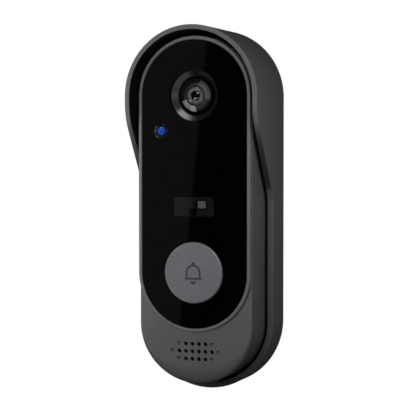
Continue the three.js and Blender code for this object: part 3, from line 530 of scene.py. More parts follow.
# Each look: how it's made, its roughness and its other values.
FINISHES = {
    "shell_plastic": (moulded, 0.46, {}),
    # Painted shade along the shell's leaning rim.
    "shell_rim": (moulded, 0.46, dict(shade=painted_rim_shade)),
    "body_plastic": (moulded, 0.42, {}),
    "bezel_plastic": (moulded, 0.42, {}),
    "panel_black": (polished, 0.03, {}),
    "trim_plastic": (moulded, 0.24, dict(grain=0.002, specular=0.15)),
    "grey_plastic": (moulded, 0.42, dict(grain=0.003)),
    "nose_grey": (moulded, 0.5, dict(grain=0.002, specular=0.2, shade=painted_nose_halo)),
    "matt_black": (moulded, 0.8, dict(specular=0.08)),
    "bay_grey": (moulded, 0.6, dict(grain=0.002, specular=0.2)),
    "emitter_grey": (moulded, 0.4, dict(grain=0.002)),
    "mark_grey": (moulded, 0.45, dict(grain=0.002, specular=0.3)),
    "black_plastic": (moulded, 0.6, dict(specular=0.2)),
    "lens_glass": (clear, 0.0, {}),
    "coated_glass": (clear, 0.0, dict(ior=1.04)),
    "black_print": (polished, 0.02, dict(shade=painted_print_halo)),
    # Polished, with painted shade for the dark lens behind the front element.
    "black_glass": (polished, 0.02, dict(ior=1.72)),
    "status_blue": (polished, 0.18, {}),
    "smoked_window": (clear, 0.02, {}),
    "emitter": (moulded, 0.4, dict(grain=0.002)),
    "button_plastic": (moulded, 0.4, {}),
    "rubber": (moulded, 0.75, dict(grain=0.01)),
    "foam": (moulded, 0.95, dict(grain=0.05, grain_size=0.5, spread=0.2)),
    "chip": (moulded, 0.5, {}),
    "circuit_board": (polished, 0.35, {}),
    "cell_wrap": (polished, 0.3, dict(waviness=0.004)),
    "steel": (metal, 0.32, dict(brush=(1, 1, 0.15))),
    "nickel": (metal, 0.35, dict(brush=(0.15, 1, 1))),
    "brass": (metal, 0.35, {}),
}


def make_materials():
    return {name: make(name, roughness, **others) for name, (make, roughness, others) in FINISHES.items()}


# ------------------------------------------------ profiles


def fillet(before, corner, after, radius):
    """The points of the arc that rounds one corner of a profile."""
    corner = Vector(corner)
    back, ahead = ((Vector(point) - corner).normalized() for point in (before, after))
    half = back.angle(ahead) / 2
    reach = radius / math.tan(half)
    centre = corner + (back + ahead).normalized() * (radius / math.sin(half))
    first, last = (corner + way * reach - centre for way in (back, ahead))
    turns = [first.slerp(last, i / FILLET_STEPS).normalized() for i in range(FILLET_STEPS + 1)]
    return [tuple(centre + turn * radius) for turn in turns]


def rounded(corners, is_closed=False):
    """Turns (a, b, radius) corners into (a, b) points, with an arc where the radius isn't zero."""
    points = []
    for i, (a, b, radius) in enumerate(corners):
        is_end = not is_closed and i in (0, len(corners) - 1)
        if is_end or radius == 0:
            points.append((a, b))
        else:
            points += fillet(corners[i - 1][:2], (a, b), corners[(i + 1) % len(corners)][:2], radius)
    return points


def arc(radius, rise, reach, steps):
    """Points (distance from the axis, depth) down a spherical face, from its apex at a depth."""
    edge = math.asin(reach / radius)
    angles = [edge * i / steps for i in range(steps + 1)]
    return [(radius * math.sin(angle), rise - radius * (1 - math.cos(angle))) for angle in angles]


# ------------------------------------------------ solid forms


def solid(name, vertices, faces):
    """A closed mesh object, with its corners merged and its faces turned outwards."""
    mesh = bpy.data.meshes.new(name)
    mesh.from_pydata([Vector(vertex) * MM for vertex in vertices], [], faces)
    form = bmesh.new()
    form.from_mesh(mesh)
    bmesh.ops.remove_doubles(form, verts=form.verts, dist=0.0001 * MM)
    bmesh.ops.recalc_face_normals(form, faces=form.faces)
    form.to_mesh(mesh)
    form.free()
    obj = bpy.data.objects.new(name, mesh)
    bpy.context.scene.collection.objects.link(obj)
    return obj


def skin(name, columns, ends):
    """Joins equally long columns of points round a form. Its ends are capped, joined or open."""
    rows = len(columns[0])
    starts = [i * rows for i in range(len(columns))]
    faces = []
    for here, there in zip(starts, starts[1:] + starts[:1]):
        for k in range(rows if ends == "joined" else rows - 1):
            up = (k + 1) % rows
            faces.append((here + k, there + k, there + up, here + up))
    if ends == "capped":
        faces += [starts, [start + rows - 1 for start in starts]]
    return solid(name, [point for column in columns for point in column], faces)


def pill(box, side_heights=()):
    """Stations round a pill-shaped box: a centre on the Z axis and an outward direction."""
    reach = (box.top - box.bottom) / 2 - box.half_width
    stations = []
    for side in (1, -1):
        for i in range(ARC_STEPS + 1):
            angle = math.pi * (i / ARC_STEPS + (0 if side > 0 else 1))
            stations.append((box.z + side * reach, math.cos(angle), math.sin(angle)))
        stations += [(height, -side, 0.0) for height in sorted(side_heights, reverse=side > 0)]
    return stations


def loft(name, box, profile, ends="capped", side_heights=()):
    """Sweeps a profile of (inset, depth) points round a pill. It may change from point to point."""
    columns = []
    for centre, nx, nz in pill(box, side_heights):
        points = profile(centre, nz) if callable(profile) else profile
        reaches = [(box.half_width - inset, depth) for inset, depth in points]
        columns.append([(nx * reach, -depth, centre + nz * reach) for reach, depth in reaches])
    return skin(name, columns, ends)


def lathe(name, points, x, z, segments=LATHE_SEGMENTS):
    """Turns (radius, depth) points about an axis along Y. Off the axis they close as a ring."""
    columns = []
    for i in range(segments):
        angle = 2 * math.pi * i / segments
        across, up = math.cos(angle), math.sin(angle)
        columns.append([(x + radius * across, -depth, z + radius * up) for radius, depth in points])
    return skin(name, columns, "open" if points[0][0] == 0 else "joined")


def prism(name, outline, back, front):
    """Extrudes an outline of (x, z) points between two depths."""
    return skin(name, [[(x, -back, z), (x, -front, z)] for x, z in outline], "capped")


def block(name, xs, depths, zs):
    outline = [(xs[0], zs[0]), (xs[1], zs[0]), (xs[1], zs[1]), (xs[0], zs[1])]
    return prism(name, outline, *depths)


def turn_outline(x, z, radius, first, last, steps):
    """Points (x, z) along an arc, with its angles in degrees."""
    angles = [math.radians(first + (last - first) * i / steps) for i in range(steps + 1)]
    return [(x + radius * math.cos(angle), z + radius * math.sin(angle)) for angle in angles]


def inset_pill(box, inset, bottom_inset=None):
    """A pill outline drawn in from a box, by its own amount at the bottom."""
    half = box.half_width - inset
    top = box.top - inset - half
    bottom = box.bottom + (inset if bottom_inset is None else bottom_inset) + half
    return turn_outline(0, top, half, 0, 180, ARC_STEPS) + turn_outline(0, bottom, half, 180, 360, ARC_STEPS)


def rod(name, radius, back, front, x, z, segments=ROD_SEGMENTS):
    return lathe(name, [(0, back), (radius, back), (radius, front), (0, front)], x, z, segments)


def flared(name, radius, back, front, x, z, segments=LATHE_SEGMENTS, edge=HOLE_EDGE):
    """A tool for a hole with a broken edge where it meets the face at the front depth."""
    points = [
        (0, back), (radius, back), (radius, front - edge), (radius + edge, front),
        (radius + edge, front + PAST), (0, front + PAST),
    ]
    return lathe(name, points, x, z, segments)


def carve(piece, tools, operation="DIFFERENCE"):
    """Cuts each tool from a piece, or joins it, and clears the tools away."""
    for tool in tools:
        cut = piece.modifiers.new("carve", "BOOLEAN")
        cut.operation, cut.object, cut.solver = operation, tool, "MANIFOLD"
    whole = bpy.data.meshes.new_from_object(piece.evaluated_get(bpy.context.evaluated_depsgraph_get()))
    piece.modifiers.clear()
    piece.data = whole
    for tool in tools:
        bpy.data.objects.remove(tool)
    return piece


def soften(obj):
    """Shades the rounds smooth and keeps the flats flat."""
    obj.data.shade_smooth()
    obj.data.set_sharp_from_angle(angle=SMOOTH_ANGLE)
    obj.modifiers.new("weighted", "WEIGHTED_NORMAL").keep_sharp = True


def look_of(node):
    return LOOKS.get(node, SLOTS[node])


def finish_piece(obj, body, material):
    """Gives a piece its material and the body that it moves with."""
    obj.data.materials.clear()
    obj.data.materials.append(material)
    soften(obj)
    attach(obj, body)


# ------------------------------------------------ hooded shell

SWEEP_RISE = (SHELL.front - SHELL_LIP) / math.tan(SWEEP_ANGLE)
SWEEP_FOOT = SWEEP_LOW_CORNER - SWEEP_LOW_RADIUS * math.tan(SWEEP_ANGLE / 2)
SWEEP_HEAD = SWEEP_LOW_CORNER + SWEEP_RISE + SWEEP_HIGH_RADIUS * math.tan(SWEEP_ANGLE / 2)


def rim_depth(z):
    """The depth of the rim at a height: lip, blend, slope, blend, hood."""
    if z <= SWEEP_FOOT:
        return SHELL_LIP
    if z >= SWEEP_HEAD:
        return SHELL.front
    if z < SWEEP_FOOT + SWEEP_LOW_RADIUS * math.sin(SWEEP_ANGLE):
        return SHELL_LIP + SWEEP_LOW_RADIUS - math.sqrt(SWEEP_LOW_RADIUS**2 - (z - SWEEP_FOOT) ** 2)
    if z > SWEEP_HEAD - SWEEP_HIGH_RADIUS * math.sin(SWEEP_ANGLE):
        return SHELL.front - SWEEP_HIGH_RADIUS + math.sqrt(SWEEP_HIGH_RADIUS**2 - (SWEEP_HEAD - z) ** 2)
    return SHELL_LIP + (z - SWEEP_LOW_CORNER) * math.tan(SWEEP_ANGLE)


def wall_at(depth):
    return SHELL_WALL - (depth - SHELL_LIP) * math.tan(SHELL_DRAFT)


def shell_profile(centre, nz):
    rim = rim_depth(centre + nz * SHELL.half_width)
    foot = wall_at(SHELL_FLOOR)
    return rounded([
        (SHELL_BACK_REACH, 0, 0), (0, 0, SHELL_ROUND), (0, rim, SHELL_ROUND),
        (wall_at(rim), rim, SHELL_ROUND), (foot, SHELL_FLOOR, SHELL_FLOOR_ROUND),
        (foot + SHELL_FLOOR_REACH, SHELL_FLOOR, 0),
    ])


def make_shell():
    rise = SWEEP_HEAD - SWEEP_FOOT
    heights = [SWEEP_FOOT + rise * i / SWEEP_STEPS for i in range(SWEEP_STEPS + 1)]
    shell = loft("shell_moulding", SHELL, shell_profile, side_heights=heights)
    in_floor, in_wall = SHELL_FLOOR / 2, SHELL_WALL / 2
    ribs = []
    for side in (-1, 1):
        xs = sorted([side * (UNIT.half_width + RIB_TO_UNIT), side * (SHELL.half_width - in_wall)])
        for z in RIB_ZS:
            ribs.append(block("rib", xs, (in_floor, RIB_FRONT), (z - RIB_HALF_HEIGHT, z + RIB_HALF_HEIGHT)))
    pads = [rod("pad", PAD_RADIUS, in_floor, UNIT.back - GAP, x, z) for x in PAD_XS for z in PAD_ZS]
    boss = block(
        "boss",
        (-CLAMP_BOSS_HALF_WIDTH, CLAMP_BOSS_HALF_WIDTH),
        (in_floor, CLAMP_BOSS_FRONT),
        (SHELL.bottom + in_wall, CLAMP_BOSS_TOP),
    )
    carve(shell, ribs + pads + [boss], "UNION")
    holes = [wall_screw_hole(z) for z in WALL_SCREW_ZS]
    insert_foot = CLAMP_BOSS_TOP - INSERT_LENGTH
    holes.append(upright_rod("insert_hole", INSERT_RADIUS, insert_foot, CLAMP_BOSS_TOP + PAST))
    tool_ends = (SHELL.bottom - 2 * PAST, SHELL.bottom + TOOL_HOLE_LENGTH)
    holes.append(upright_rod("tool_hole", TOOL_HOLE_RADIUS, *tool_ends))
    return carve(shell, holes)


def wall_screw_hole(z):
    """A tool for a countersunk hole through the shell's floor."""
    start, end = WALL_SCREW_SINK
    front = SHELL_FLOOR + PAST_FLOOR
    return lathe("screw_hole", [
        (0, -PAST), (WALL_SCREW_RADIUS, -PAST), (WALL_SCREW_RADIUS, start), (WALL_SCREW_HEAD_RADIUS, end),
        (WALL_SCREW_HEAD_RADIUS, front), (0, front),
    ], 0, z, ROD_SEGMENTS)


def upright_rod(name, radius, bottom, top):
    """A round tool along Z on the clamp screw's axis."""
    columns = []
    for i in range(ROD_SEGMENTS):
        angle = 2 * math.pi * i / ROD_SEGMENTS
        x, y = radius * math.cos(angle), radius * math.sin(angle) - CLAMP_DEPTH
        columns.append([(x, y, bottom), (x, y, top)])
    return skin(name, columns, "capped")


# ------------------------------------------------ unit housing, bezel and panel


def housing_profile(centre, nz):
    """Crisp edges along the sides, and a broad roll that grows round the chin."""
    share = max(0.0, -nz) ** 2 if centre < 0 else 0.0
    width = EDGE_ROUND + (CHIN_ROLL_WIDTH - EDGE_ROUND) * share
    drop = EDGE_ROUND + (CHIN_ROLL_DEPTH - EDGE_ROUND) * share
    turns = [math.pi / 2 * i / CHIN_ROLL_STEPS for i in range(CHIN_ROLL_STEPS + 1)]
    roll = [(width * (1 - math.cos(t)), UNIT.front - drop * (1 - math.sin(t))) for t in turns]
    back = rounded([(UNIT_BACK_REACH, UNIT.back, 0), (0, UNIT.back, EDGE_ROUND), (0, UNIT.front - drop, 0)])
    return back[:-1] + roll


def grille_tools():
    tools = []
    for row, count in GRILLE_ROWS:
        for i in range(count):
            is_blind = i in (0, count - 1)
            back = UNIT.front - GRILLE_BLIND_DEPTH if is_blind else UNIT_INNER_FRONT - PAST / 2
            x = (i - (count - 1) / 2) * GRILLE_HOLE_PITCH
            z = GRILLE_Z + row * GRILLE_ROW_PITCH
            tools.append(flared("hole", GRILLE_RADIUS, back, UNIT.front, x, z, GRILLE_SEGMENTS))
    return tools


def make_cavity():
    """The tool for the unit's inside, which keeps a wall round the notch in the unit's foot."""
    cavity = prism("cavity", inset_pill(UNIT, UNIT_WALL), CAVITY_BACK, UNIT_INNER_FRONT)
    half_width = NOTCH_HALF_WIDTH + UNIT_WALL
    low, high = NOTCH_ZS
    walls = block("walls", (-half_width, half_width), (0, NOTCH_FRONT + UNIT_WALL), (low, high + UNIT_WALL))
    return carve(cavity, [walls])


def front_openings():
    """Tools for the holes in the unit's front plate, under the panel."""
    depths = (UNIT_INNER_FRONT - PAST, UNIT.front + PAST)
    behind = depths[0]
    across = WINDOW.half_width + WINDOW_HOLE_MARGIN
    window_zs = (WINDOW.bottom - WINDOW_HOLE_MARGIN, WINDOW.top + WINDOW_HOLE_MARGIN)
    recess_radius = BUTTON_RADIUS + BUTTON_RECESS_REACH
    return [
        rod("camera_hole", RING_RADIUS + GAP, *depths, 0, RING.z, LATHE_SEGMENTS),
        rod("status_hole", CUP.half_width + CUP_HOLE_MARGIN, *depths, CUP.x, CUP.z),
        block("window_hole", (-across, across), depths, window_zs),
        rod("button_hole", BUTTON_RADIUS + GAP, *depths, 0, BUTTON.z, LATHE_SEGMENTS),
        rod("button_recess", recess_radius, behind, BUTTON_RECESS_FRONT, 0, BUTTON.z, LATHE_SEGMENTS),
    ]


def bezel_groove():
    """A tool for the thin groove that shows as a dark line round the bezel frame."""
    low, high = UNIT.front - GROOVE_DEPTH, UNIT.front + PAST
    return loft("groove", BEZEL, [
        (-GROOVE_REACH, low), (-GROOVE_REACH, high), (GROOVE_REACH, high), (GROOVE_REACH, low),
    ], "joined")


def make_housing():
    housing = loft("housing_moulding", UNIT, housing_profile)
    notch_xs = (-NOTCH_HALF_WIDTH, NOTCH_HALF_WIDTH)
    carve(housing, [
        make_cavity(),
        prism("ledge", inset_pill(UNIT, LEDGE_INSET, LEDGE_BOTTOM_INSET), *LEDGE_DEPTHS),
        prism("cover_recess", inset_pill(COVER, -COVER_GAP), 0, COVER_SEAT),
        block("notch", notch_xs, (0, NOTCH_FRONT), NOTCH_ZS),
        prism("pocket", inset_pill(BEZEL, BEZEL_RIM), POCKET, UNIT.front + PAST),
        bezel_groove(),
        *front_openings(),
        *grille_tools(),
    ])
    posts = [rod("post", POST_RADIUS, POST_BACK, UNIT_INNER_FRONT + PAST / 2, s.x, s.z) for s in SCREWS]
    carve(housing, posts, "UNION")
    return carve(housing, [rod("pilot", PILOT_RADIUS, *PILOT_DEPTHS, s.x, s.z) for s in SCREWS])


def make_bezel():
    seat = PANEL.back - PANEL_GLUE
    ledge = BEZEL_RIM + BEZEL_LEDGE
    back = UNIT.front + GAP
    spigot = BEZEL_RIM + GAP
    return loft("bezel_moulding", BEZEL, rounded([
        (0, back, 0.1), (0, BEZEL.front, 0.4), (BEZEL_RIM, BEZEL.front, 0.15), (BEZEL_RIM, seat, 0),
        (ledge, seat, 0), (ledge, BEZEL.back, 0), (spigot, BEZEL.back, 0), (spigot, back, 0),
    ], is_closed=True), "joined")


def window_outline(inset):
    """The sensor window's rounded rectangle, drawn in by an inset."""
    half_width, half_height = WINDOW.half_width - inset, (WINDOW.top - WINDOW.bottom) / 2 - inset
    corner = WINDOW_CORNER - inset
    points = []
    for first, across, up in ((0, 1, 1), (90, -1, 1), (180, -1, -1), (270, 1, -1)):
        x, z = across * (half_width - corner), WINDOW.z + up * (half_height - corner)
        points += turn_outline(x, z, corner, first, first + 90, WINDOW_CORNER_STEPS)
    return points


def make_panel():
    panel = loft("panel_sheet", PANEL, rounded([
        (PANEL_REACH, PANEL.back, 0), (0, PANEL.back, 0), (0, PANEL.front, 0.12),
        (PANEL_REACH, PANEL.front, 0),
    ]))
    depths = (PANEL.back - PAST, PANEL.front)
    return carve(panel, [
        flared("camera_hole", RING_RADIUS + PANEL_FIT, *depths, 0, RING.z, edge=HOLE_EDGE / 2),
        flared("status_hole", CUP.half_width + PANEL_FIT, *depths, CUP.x, CUP.z, edge=CUP_HOLE_EDGE),
        prism("window_hole", window_outline(-PANEL_FIT), PANEL.back - PAST, PANEL.front + PAST),
        flared("button_hole", BUTTON_RADIUS + BUTTON_FIT, *depths, 0, BUTTON.z),
    ])


# ------------------------------------------------ camera and status light


def make_trim_ring():
    flange_front = PANEL.back - GAP
    return lathe("camera_trim", rounded([
        (RING.half_width, POCKET + GAP, 0), (RING.half_width, flange_front, 0.1),
        (RING_RADIUS, flange_front, 0.05), (THROAT_RADIUS, THROAT_DEPTH, 0.15),
        (THROAT_RADIUS, RING.back, 0), (RING_RADIUS, RING.back, 0), (RING_RADIUS, POCKET + GAP, 0),
    ], is_closed=True), 0, RING.z)


def cap_radius(reach, bulge):
    """The radius of the sphere whose cap has this reach and bulge."""
    return (reach**2 + bulge**2) / (2 * bulge)


def make_dome():
    bulge = DOME.front - DOME.back
    sphere = cap_radius(DOME.half_width, bulge)
    inner = sphere - DOME_WALL
    inner_reach = math.sqrt(inner**2 - (sphere - bulge) ** 2)
    outside = arc(sphere, DOME.front, DOME.half_width, DOME_STEPS)
    inside = arc(inner, DOME.front - DOME_WALL, inner_reach, DOME_STEPS)
    return lathe("dome_glass", outside + inside[::-1], 0, DOME.z)


def make_dome_print():
    """The dark print round the dome's clear middle: a thin cone-shaped skin just off the glass."""
    width = PRINT_RADIUS - DOME_CLEAR_RADIUS
    outs = [width * i / PRINT_STEPS for i in range(PRINT_STEPS + 1)]
    cone = [(DOME_CLEAR_RADIUS + out, PRINT_FRONT - out * math.tan(PRINT_TILT)) for out in outs]
    (shoulder_reach, shoulder_rise), (foot_reach, foot_rise) = PRINT_SHOULDER
    edge = [
        (PRINT_RADIUS + shoulder_reach, cone[-1][1] + shoulder_rise),
        (PRINT_RADIUS + foot_reach, DOME.back + foot_rise),
    ]
    under_cone = [(radius, depth - PRINT_SKIN) for radius, depth in cone]
    under_edge = [(radius - PRINT_SKIN, depth) for radius, depth in edge]
    outside, inside = cone + edge, under_cone + under_edge
    return lathe("dome_print", outside + inside[::-1], PRINT_SHIFT, DOME.z)


def make_retainer():
    face = [(radius, NOSE.front - drop, rounding) for radius, drop, rounding in NOSE_FACE]
    foot = [(NOSE.half_width, NOSE.back, 0), (NOSE_BORE, NOSE.back, 0)]
    return lathe("nose_ring", rounded(face + foot, is_closed=True), 0, NOSE.z)


def make_front_glass():
    radius = GLASS.half_width
    face = arc(cap_radius(radius, GLASS_BULGE), GLASS.front, radius, GLASS_STEPS)
    return lathe("front_glass", [*face, (radius, GLASS.back), (0, GLASS.back)], 0, GLASS.z)


def make_status_cup():
    bore = GUIDE.half_width + GAP
    return lathe("status_bezel", rounded([
        (CUP.half_width, CUP.back, 0), (CUP.half_width, CUP.front, 0.06),
        (bore + CUP_SLOPE_WIDTH, GUIDE.front + CUP_STEP, 0.1), (bore, GUIDE.front - CUP_STEP, 0.05),
        (bore, CUP.back, 0),
    ], is_closed=True), CUP.x, CUP.z)


def make_light_guide():
    radius = GUIDE.half_width
    return lathe("light_guide", rounded([
        (0, GUIDE.front, 0), (radius, GUIDE.front, 0.3), (radius, GUIDE.back, 0), (0, GUIDE.back, 0),
    ]), GUIDE.x, GUIDE.z)


def emitter_opening(layer):
    xs = (EMITTER.x - EMITTER.half_width, EMITTER.x + EMITTER.half_width)
    return block("opening", xs, (layer[0] - PAST, layer[1] + PAST), (EMITTER.bottom, EMITTER.top))


def make_sensor_plate():
    """The grey plate that shows through the window, open round the infrared emitter."""
    plate = prism("sensor_plate", window_outline(PLATE_INSET), *PLATE_LAYER)
    return carve(plate, [emitter_opening(PLATE_LAYER)])


def make_sensor_mask():
    """A black mask on the plate, round the infrared emitter and below it on the left."""
    mask = block("sensor_mask", MASK_XS, MASK_LAYER, MASK_ZS)
    carve(mask, [emitter_opening(MASK_LAYER)])
    return carve(mask, [block("corner", MASK_CORNER_XS, MASK_LAYER, MASK_CORNER_ZS)], "UNION")


# ------------------------------------------------ push button and its bell mark


def make_button():
    radius, face = BUTTON_RADIUS, BUTTON.front
    inner, ceiling = radius - BUTTON_WALL, face - BUTTON_WALL
    flange_front = BUTTON.back + BUTTON_FLANGE_DEPTH
    shares = [i / DISH_STEPS for i in range(DISH_STEPS)]
    dish = [(radius * share, face - BUTTON_DISH * (1 - share**2)) for share in shares]
    edge = rounded([
        (radius - 1, face, 0), (radius, face, 0.25), (radius, flange_front, 0.1),
        (BUTTON.half_width, flange_front, 0), (BUTTON.half_width, BUTTON.back, 0),
        (inner, BUTTON.back, 0), (inner, ceiling, 0), (BUTTON_STEM_RADIUS, ceiling, 0),
        (BUTTON_STEM_RADIUS, BUTTON_STEM_BACK, 0), (0, BUTTON_STEM_BACK, 0),
    ])
    return lathe("button_moulding", dish + edge[1:], 0, BUTTON.z)


def bell_outline(inset, foot):
    """The bell's body as an outline of (x, z) points: an arch on two straight sides."""
    half = BELL_HALF_WIDTH - inset
    centre = BUTTON.z + BELL_TOP - BELL_HALF_WIDTH
    return [(half, foot), *turn_outline(0, centre, half, 0, 180, BELL_STEPS), (-half, foot)]


def knob_outline():
    top, foot = BUTTON.z + BELL_KNOB_TOP, BUTTON.z + BELL_TOP - BELL_LINE / 2
    wide, narrow = BELL_KNOB_HALF_WIDTHS
    side = top - BELL_KNOB_SIDE
    return [(wide, foot), (narrow, side), (0, top), (-narrow, side), (-wide, foot)]


def make_bell():
    """A plain bell pictogram in thin relief on the button's face."""
    face = BUTTON.front - BUTTON_DISH
    depths = (face - MARK_ROOT, face + MARK_RISE)
    low, high = (BUTTON.z + edge for edge in BELL_BRIM)
    bell = prism("bell_mark", bell_outline(0, low + BELL_OVERLAP), *depths)
    hollow = bell_outline(BELL_LINE, low + BELL_HOLLOW_RISE)
    carve(bell, [prism("inside", hollow, depths[0] - PAST, depths[1] + PAST)])
    wide, narrow = BELL_BRIM_HALF_WIDTH, BELL_HALF_WIDTH
    brim = [(wide, low), (narrow, high), (-narrow, high), (-wide, low)]
    clapper_z = BUTTON.z + BELL_CLAPPER_Z
    clapper = turn_outline(0, clapper_z, BELL_CLAPPER_RADIUS, 180, 360, CLAPPER_STEPS)
    return carve(bell, [
        prism("brim", brim, *depths),
        prism("knob", knob_outline(), *depths),
        prism("clapper", clapper, *depths),
    ], "UNION")


# ------------------------------------------------ fine pieces and finishes

FINE_PIECES = {
    "rain_shell": make_shell,
    "front_housing": make_housing,
    "bezel_frame": make_bezel,
    "front_panel": make_panel,
    "camera_trim_ring": make_trim_ring,
    "lens_dome": make_dome,
    "lens_retainer": make_retainer,
    "lens_front_element": make_front_glass,
    "status_cup": make_status_cup,
    "status_light_guide": make_light_guide,
    "button_cap": make_button,
}
# Each piece with no node of its own: how it's made, the node it rides with, its slot and its look.
ADDED_PIECES = (
    # The dome's print carries a painted halo of light.
    (make_dome_print, "lens_dome", "trim_plastic", "black_print"),
    # The sensor plate's grey is partly painted light.
    (make_sensor_plate, "sensor_holder", "black_plastic", "bay_grey"),
    (make_sensor_mask, "sensor_holder", "black_plastic", "matt_black"),
    (make_bell, "button_cap", "grey_plastic", "mark_grey"),
)


def paint_faces(obj, material, is_chosen):
    """Gives another material to the faces a test picks by their centre, in millimetres, and normal."""
    mesh = obj.data
    mesh.materials.append(material)
    slot = len(mesh.materials) - 1
    for face in mesh.polygons:
        x, y, z = face.center / MM
        if is_chosen(x, -y, z, face.normal):
            face.material_index = slot


def inset_in_shell(x, z):
    """How far a point lies inside the shell's outline."""
    reach = (SHELL.top - SHELL.bottom) / 2 - SHELL.half_width
    centre = min(max(z, SHELL.z - reach), SHELL.z + reach)
    return SHELL.half_width - math.hypot(x, z - centre)


# Faces inside the shell, which are painted matt black as painted shade.
def is_painted_shade_inside(x, depth, z, _):
    return depth > SHELL_FLOOR - FLOOR_SLACK and inset_in_shell(x, z) > wall_at(depth) - WALL_SLACK


# Faces of the shell's leaning rim, which are given painted shade.
def is_painted_shade_rim(x, depth, z, normal):
    is_leaning = normal.y < RIM_FACING[0] and normal.z < RIM_FACING[1]
    return is_leaning and inset_in_shell(x, z) < wall_at(depth) - WALL_SLACK


def add_pieces(materials):
    for node, make in FINE_PIECES.items():
        piece = make()
        finish_piece(piece, BODIES[node], materials[look_of(node)])
        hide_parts(node)
    for make, node, slot, look in ADDED_PIECES:
        finish_piece(make(), BODIES[node], materials[look])
    shell = bpy.data.objects["shell_moulding"]
    # Painted shade: the shell's inside is painted matt black.
    paint_faces(shell, materials["matt_black"], is_painted_shade_inside)
    # Painted shade darkens the shell's leaning rim.
    paint_faces(shell, materials["shell_rim"], is_painted_shade_rim)


def weld_and_soften(obj, group):
    """Joins a CAD node's split corners and shades its rounds smooth."""
    obj.modifiers.new("weld", "WELD").merge_threshold = WELD_DISTANCE * MM
    obj.modifiers.new("smooth", "NODES").node_group = group
    obj.modifiers.new("weighted", "WEIGHTED_NORMAL").keep_sharp = True


def smooth_by_angle():
    """A node group that shades smooth across every edge blunter than SMOOTH_ANGLE."""
    group = bpy.data.node_groups.new("smooth_by_angle", "GeometryNodeTree")
    group.interface.new_socket("Geometry", in_out="INPUT", socket_type="NodeSocketGeometry")
    group.interface.new_socket("Geometry", in_out="OUTPUT", socket_type="NodeSocketGeometry")
    start = add(group, "NodeGroupInput").outputs["Geometry"]
    faces = add(group, "GeometryNodeSetShadeSmooth", {"domain": "FACE"}, {"Geometry": start})
    angle = add(group, "GeometryNodeInputMeshEdgeAngle").outputs["Unsigned Angle"]
    blunt = add(group, "FunctionNodeCompare", {"operation": "LESS_THAN"}, {"A": angle, "B": SMOOTH_ANGLE})
    edges = add(group, "GeometryNodeSetShadeSmooth", {"domain": "EDGE"}, {
        "Geometry": faces.outputs["Geometry"],
        "Shade Smooth": blunt.outputs["Result"],
    })
    add(group, "NodeGroupOutput", inputs={"Geometry": edges.outputs["Geometry"]})
    return group


def finish_nodes(materials):
    group = smooth_by_angle()
    for name, obj in frame["nodes"].items():
        obj.data.materials.clear()
        obj.data.materials.append(materials[look_of(name)])
        weld_and_soften(obj, group)


# ------------------------------------------------ studio


def view_axes():
    """The camera's right, forward and up directions."""
    ca, sa = math.cos(VIEW_AZIMUTH), math.sin(VIEW_AZIMUTH)
    ce, se = math.cos(VIEW_ELEVATION), math.sin(VIEW_ELEVATION)
    return Vector((ca, sa, 0)), Vector((-sa * ce, ca * ce, -se)), Vector((-sa * se, ca * se, ce))


def add_camera():
    right, forward, up = view_axes()
    data = bpy.data.cameras.new("camera")
    data.lens = VIEW_LENS
    data.clip_start = 0.01
    camera = bpy.data.objects.new("camera", data)
    target = -(VIEW_AIM_LEFT * right + VIEW_AIM_DOWN * up) * MM
    camera.location = target - VIEW_DISTANCE * MM * forward
    camera.rotation_euler = forward.to_track_quat("-Z", "Y").to_euler()
    bpy.context.scene.collection.objects.link(camera)
    bpy.context.scene.camera = camera


def softbox(name, azimuth, elevation, distance, width, height, radiance, target):
    """An area lamp whose surface shows the given radiance. It faces the target, from a bearing that
    is 0, 0 in front of the wall. Its distance and sides are in metres."""
    data = bpy.data.lights.new(name, "AREA")
    data.shape = "RECTANGLE"
    data.size, data.size_y = width, height
    data.energy = radiance * math.pi * width * height
    lamp = bpy.data.objects.new(name, data)
    lamp.visible_camera = False
    a, e = math.radians(azimuth), math.radians(elevation)
    direction = Vector((math.sin(a) * math.cos(e), -math.cos(a) * math.cos(e), math.sin(e)))
    lamp.location = Vector(target) * MM + direction * distance
    lamp.rotation_euler = (-direction).to_track_quat("-Z", "Y").to_euler()
    bpy.context.scene.collection.objects.link(lamp)
    return lamp


def light_world():
    """White to the camera. Gloss and glass see that backdrop only behind the wall plane."""
    world = bpy.data.worlds.new("world")
    bpy.context.scene.world = world
    world.use_nodes = True
    tree = world.node_tree
    tree.nodes.clear()
    ray = add(tree, "ShaderNodeLightPath").outputs
    direction = add(tree, "ShaderNodeTexCoord").outputs["Generated"]
    along_y = add(tree, "ShaderNodeSeparateXYZ", inputs={0: direction}).outputs["Y"]
    behind = step(tree, along_y, 0, BACKDROP_RISE, unit=1)
    glossy, through = ray["Is Glossy Ray"], ray["Is Transmission Ray"]
    indirect = math_node(tree, "MULTIPLY_ADD", glossy, BACKDROP_IN_GLOSS, through)
    softened = math_node(tree, "MULTIPLY_ADD", indirect, behind, WORLD_FILL)
    strength = math_node(tree, "MAXIMUM", softened, ray["Is Camera Ray"])
    seen = add(tree, "ShaderNodeBackground", inputs={"Color": (1, 1, 1, 1), "Strength": strength})
    add(tree, "ShaderNodeOutputWorld", inputs={"Surface": seen.outputs["Background"]})


def link_light(lamp, pieces, state):
    """Links a lamp to some pieces: only they see it with INCLUDE, and all but them with EXCLUDE."""
    linked = bpy.data.collections.new(lamp.name + "_pieces")
    for name in pieces:
        linked.objects.link(bpy.data.objects[name])
    lamp.light_linking.receiver_collection = linked
    for member in linked.collection_objects:
        member.light_linking.link_state = state


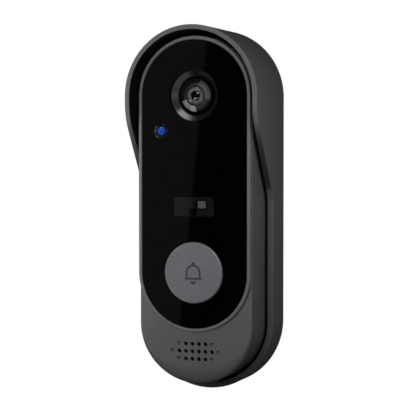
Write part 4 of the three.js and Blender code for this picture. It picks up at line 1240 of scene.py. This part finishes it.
def add_panel_card():
    """A dim grey card whose leaning edge shows in the panel's gloss."""
    size = (PANEL_CARD_WIDTH * MM, PANEL_CARD_HEIGHT * MM)
    card = softbox("card", 0, 0, 1, *size, PANEL_CARD_RADIANCE, (0, 0, 0))
    across = Vector((math.cos(PANEL_CARD_LEAN), 0, -math.sin(PANEL_CARD_LEAN)))
    edge = Vector((PANEL_CARD_EDGE, -PANEL_CARD_DEPTH, 0))
    card.location = (edge - across * PANEL_CARD_WIDTH / 2) * MM
    card.rotation_euler = (math.pi / 2, PANEL_CARD_LEAN, 0)


def floor_material():
    """Pale paint that fades out towards the floor's edge."""
    material, tree, place = new_tree("floor")
    away = add(tree, "ShaderNodeVectorMath", {"operation": "LENGTH"}, {0: place}).outputs["Value"]
    edge = step(tree, away, *FLOOR_FADE, unit=FLOOR_RADIUS)
    paint = add(tree, "ShaderNodeBsdfDiffuse", inputs={"Color": (*FLOOR_COLOR, 1)})
    fade = add(tree, "ShaderNodeBsdfTransparent")
    show_mix(tree, edge, paint, fade)
    return material


def add_floor():
    outline = turn_outline(0, 0, FLOOR_RADIUS / MM, 0, 360, FLOOR_STEPS)[:-1]
    floor = solid("floor", [(x, y, 0) for x, y in outline], [tuple(range(len(outline)))])
    floor.location.z = FLOOR_Z * MM
    floor.data.materials.append(floor_material())
    floor.visible_diffuse = floor.visible_glossy = floor.visible_shadow = False
    link_light(softbox(*FLOOR_LAMP), ("floor",), "INCLUDE")


def build_studio():
    add_camera()
    light_world()
    for *where, hidden_from in LAMPS:
        link_light(softbox(*where), hidden_from, "EXCLUDE")
    softbox(*BACK_LAMP).visible_glossy = False
    fill = softbox(*PRINT_FILL)
    fill.visible_glossy = False
    link_light(fill, PRINT_PIECES, "INCLUDE")
    for *where, roll, pieces in CARDS:
        card = softbox(*where)
        card.rotation_euler.rotate_axis("Z", math.radians(roll))
        card.visible_diffuse = False
        link_light(card, pieces, "INCLUDE")
    add_panel_card()
    add_floor()
    for name in SHADOWLESS_PIECES:
        bpy.data.objects[name].visible_shadow = False
    bpy.context.scene.view_settings.view_transform = "Standard"


# ------------------------------------------------ build


finishes = make_materials()
finish_nodes(finishes)
add_pieces(finishes)
build_studio()
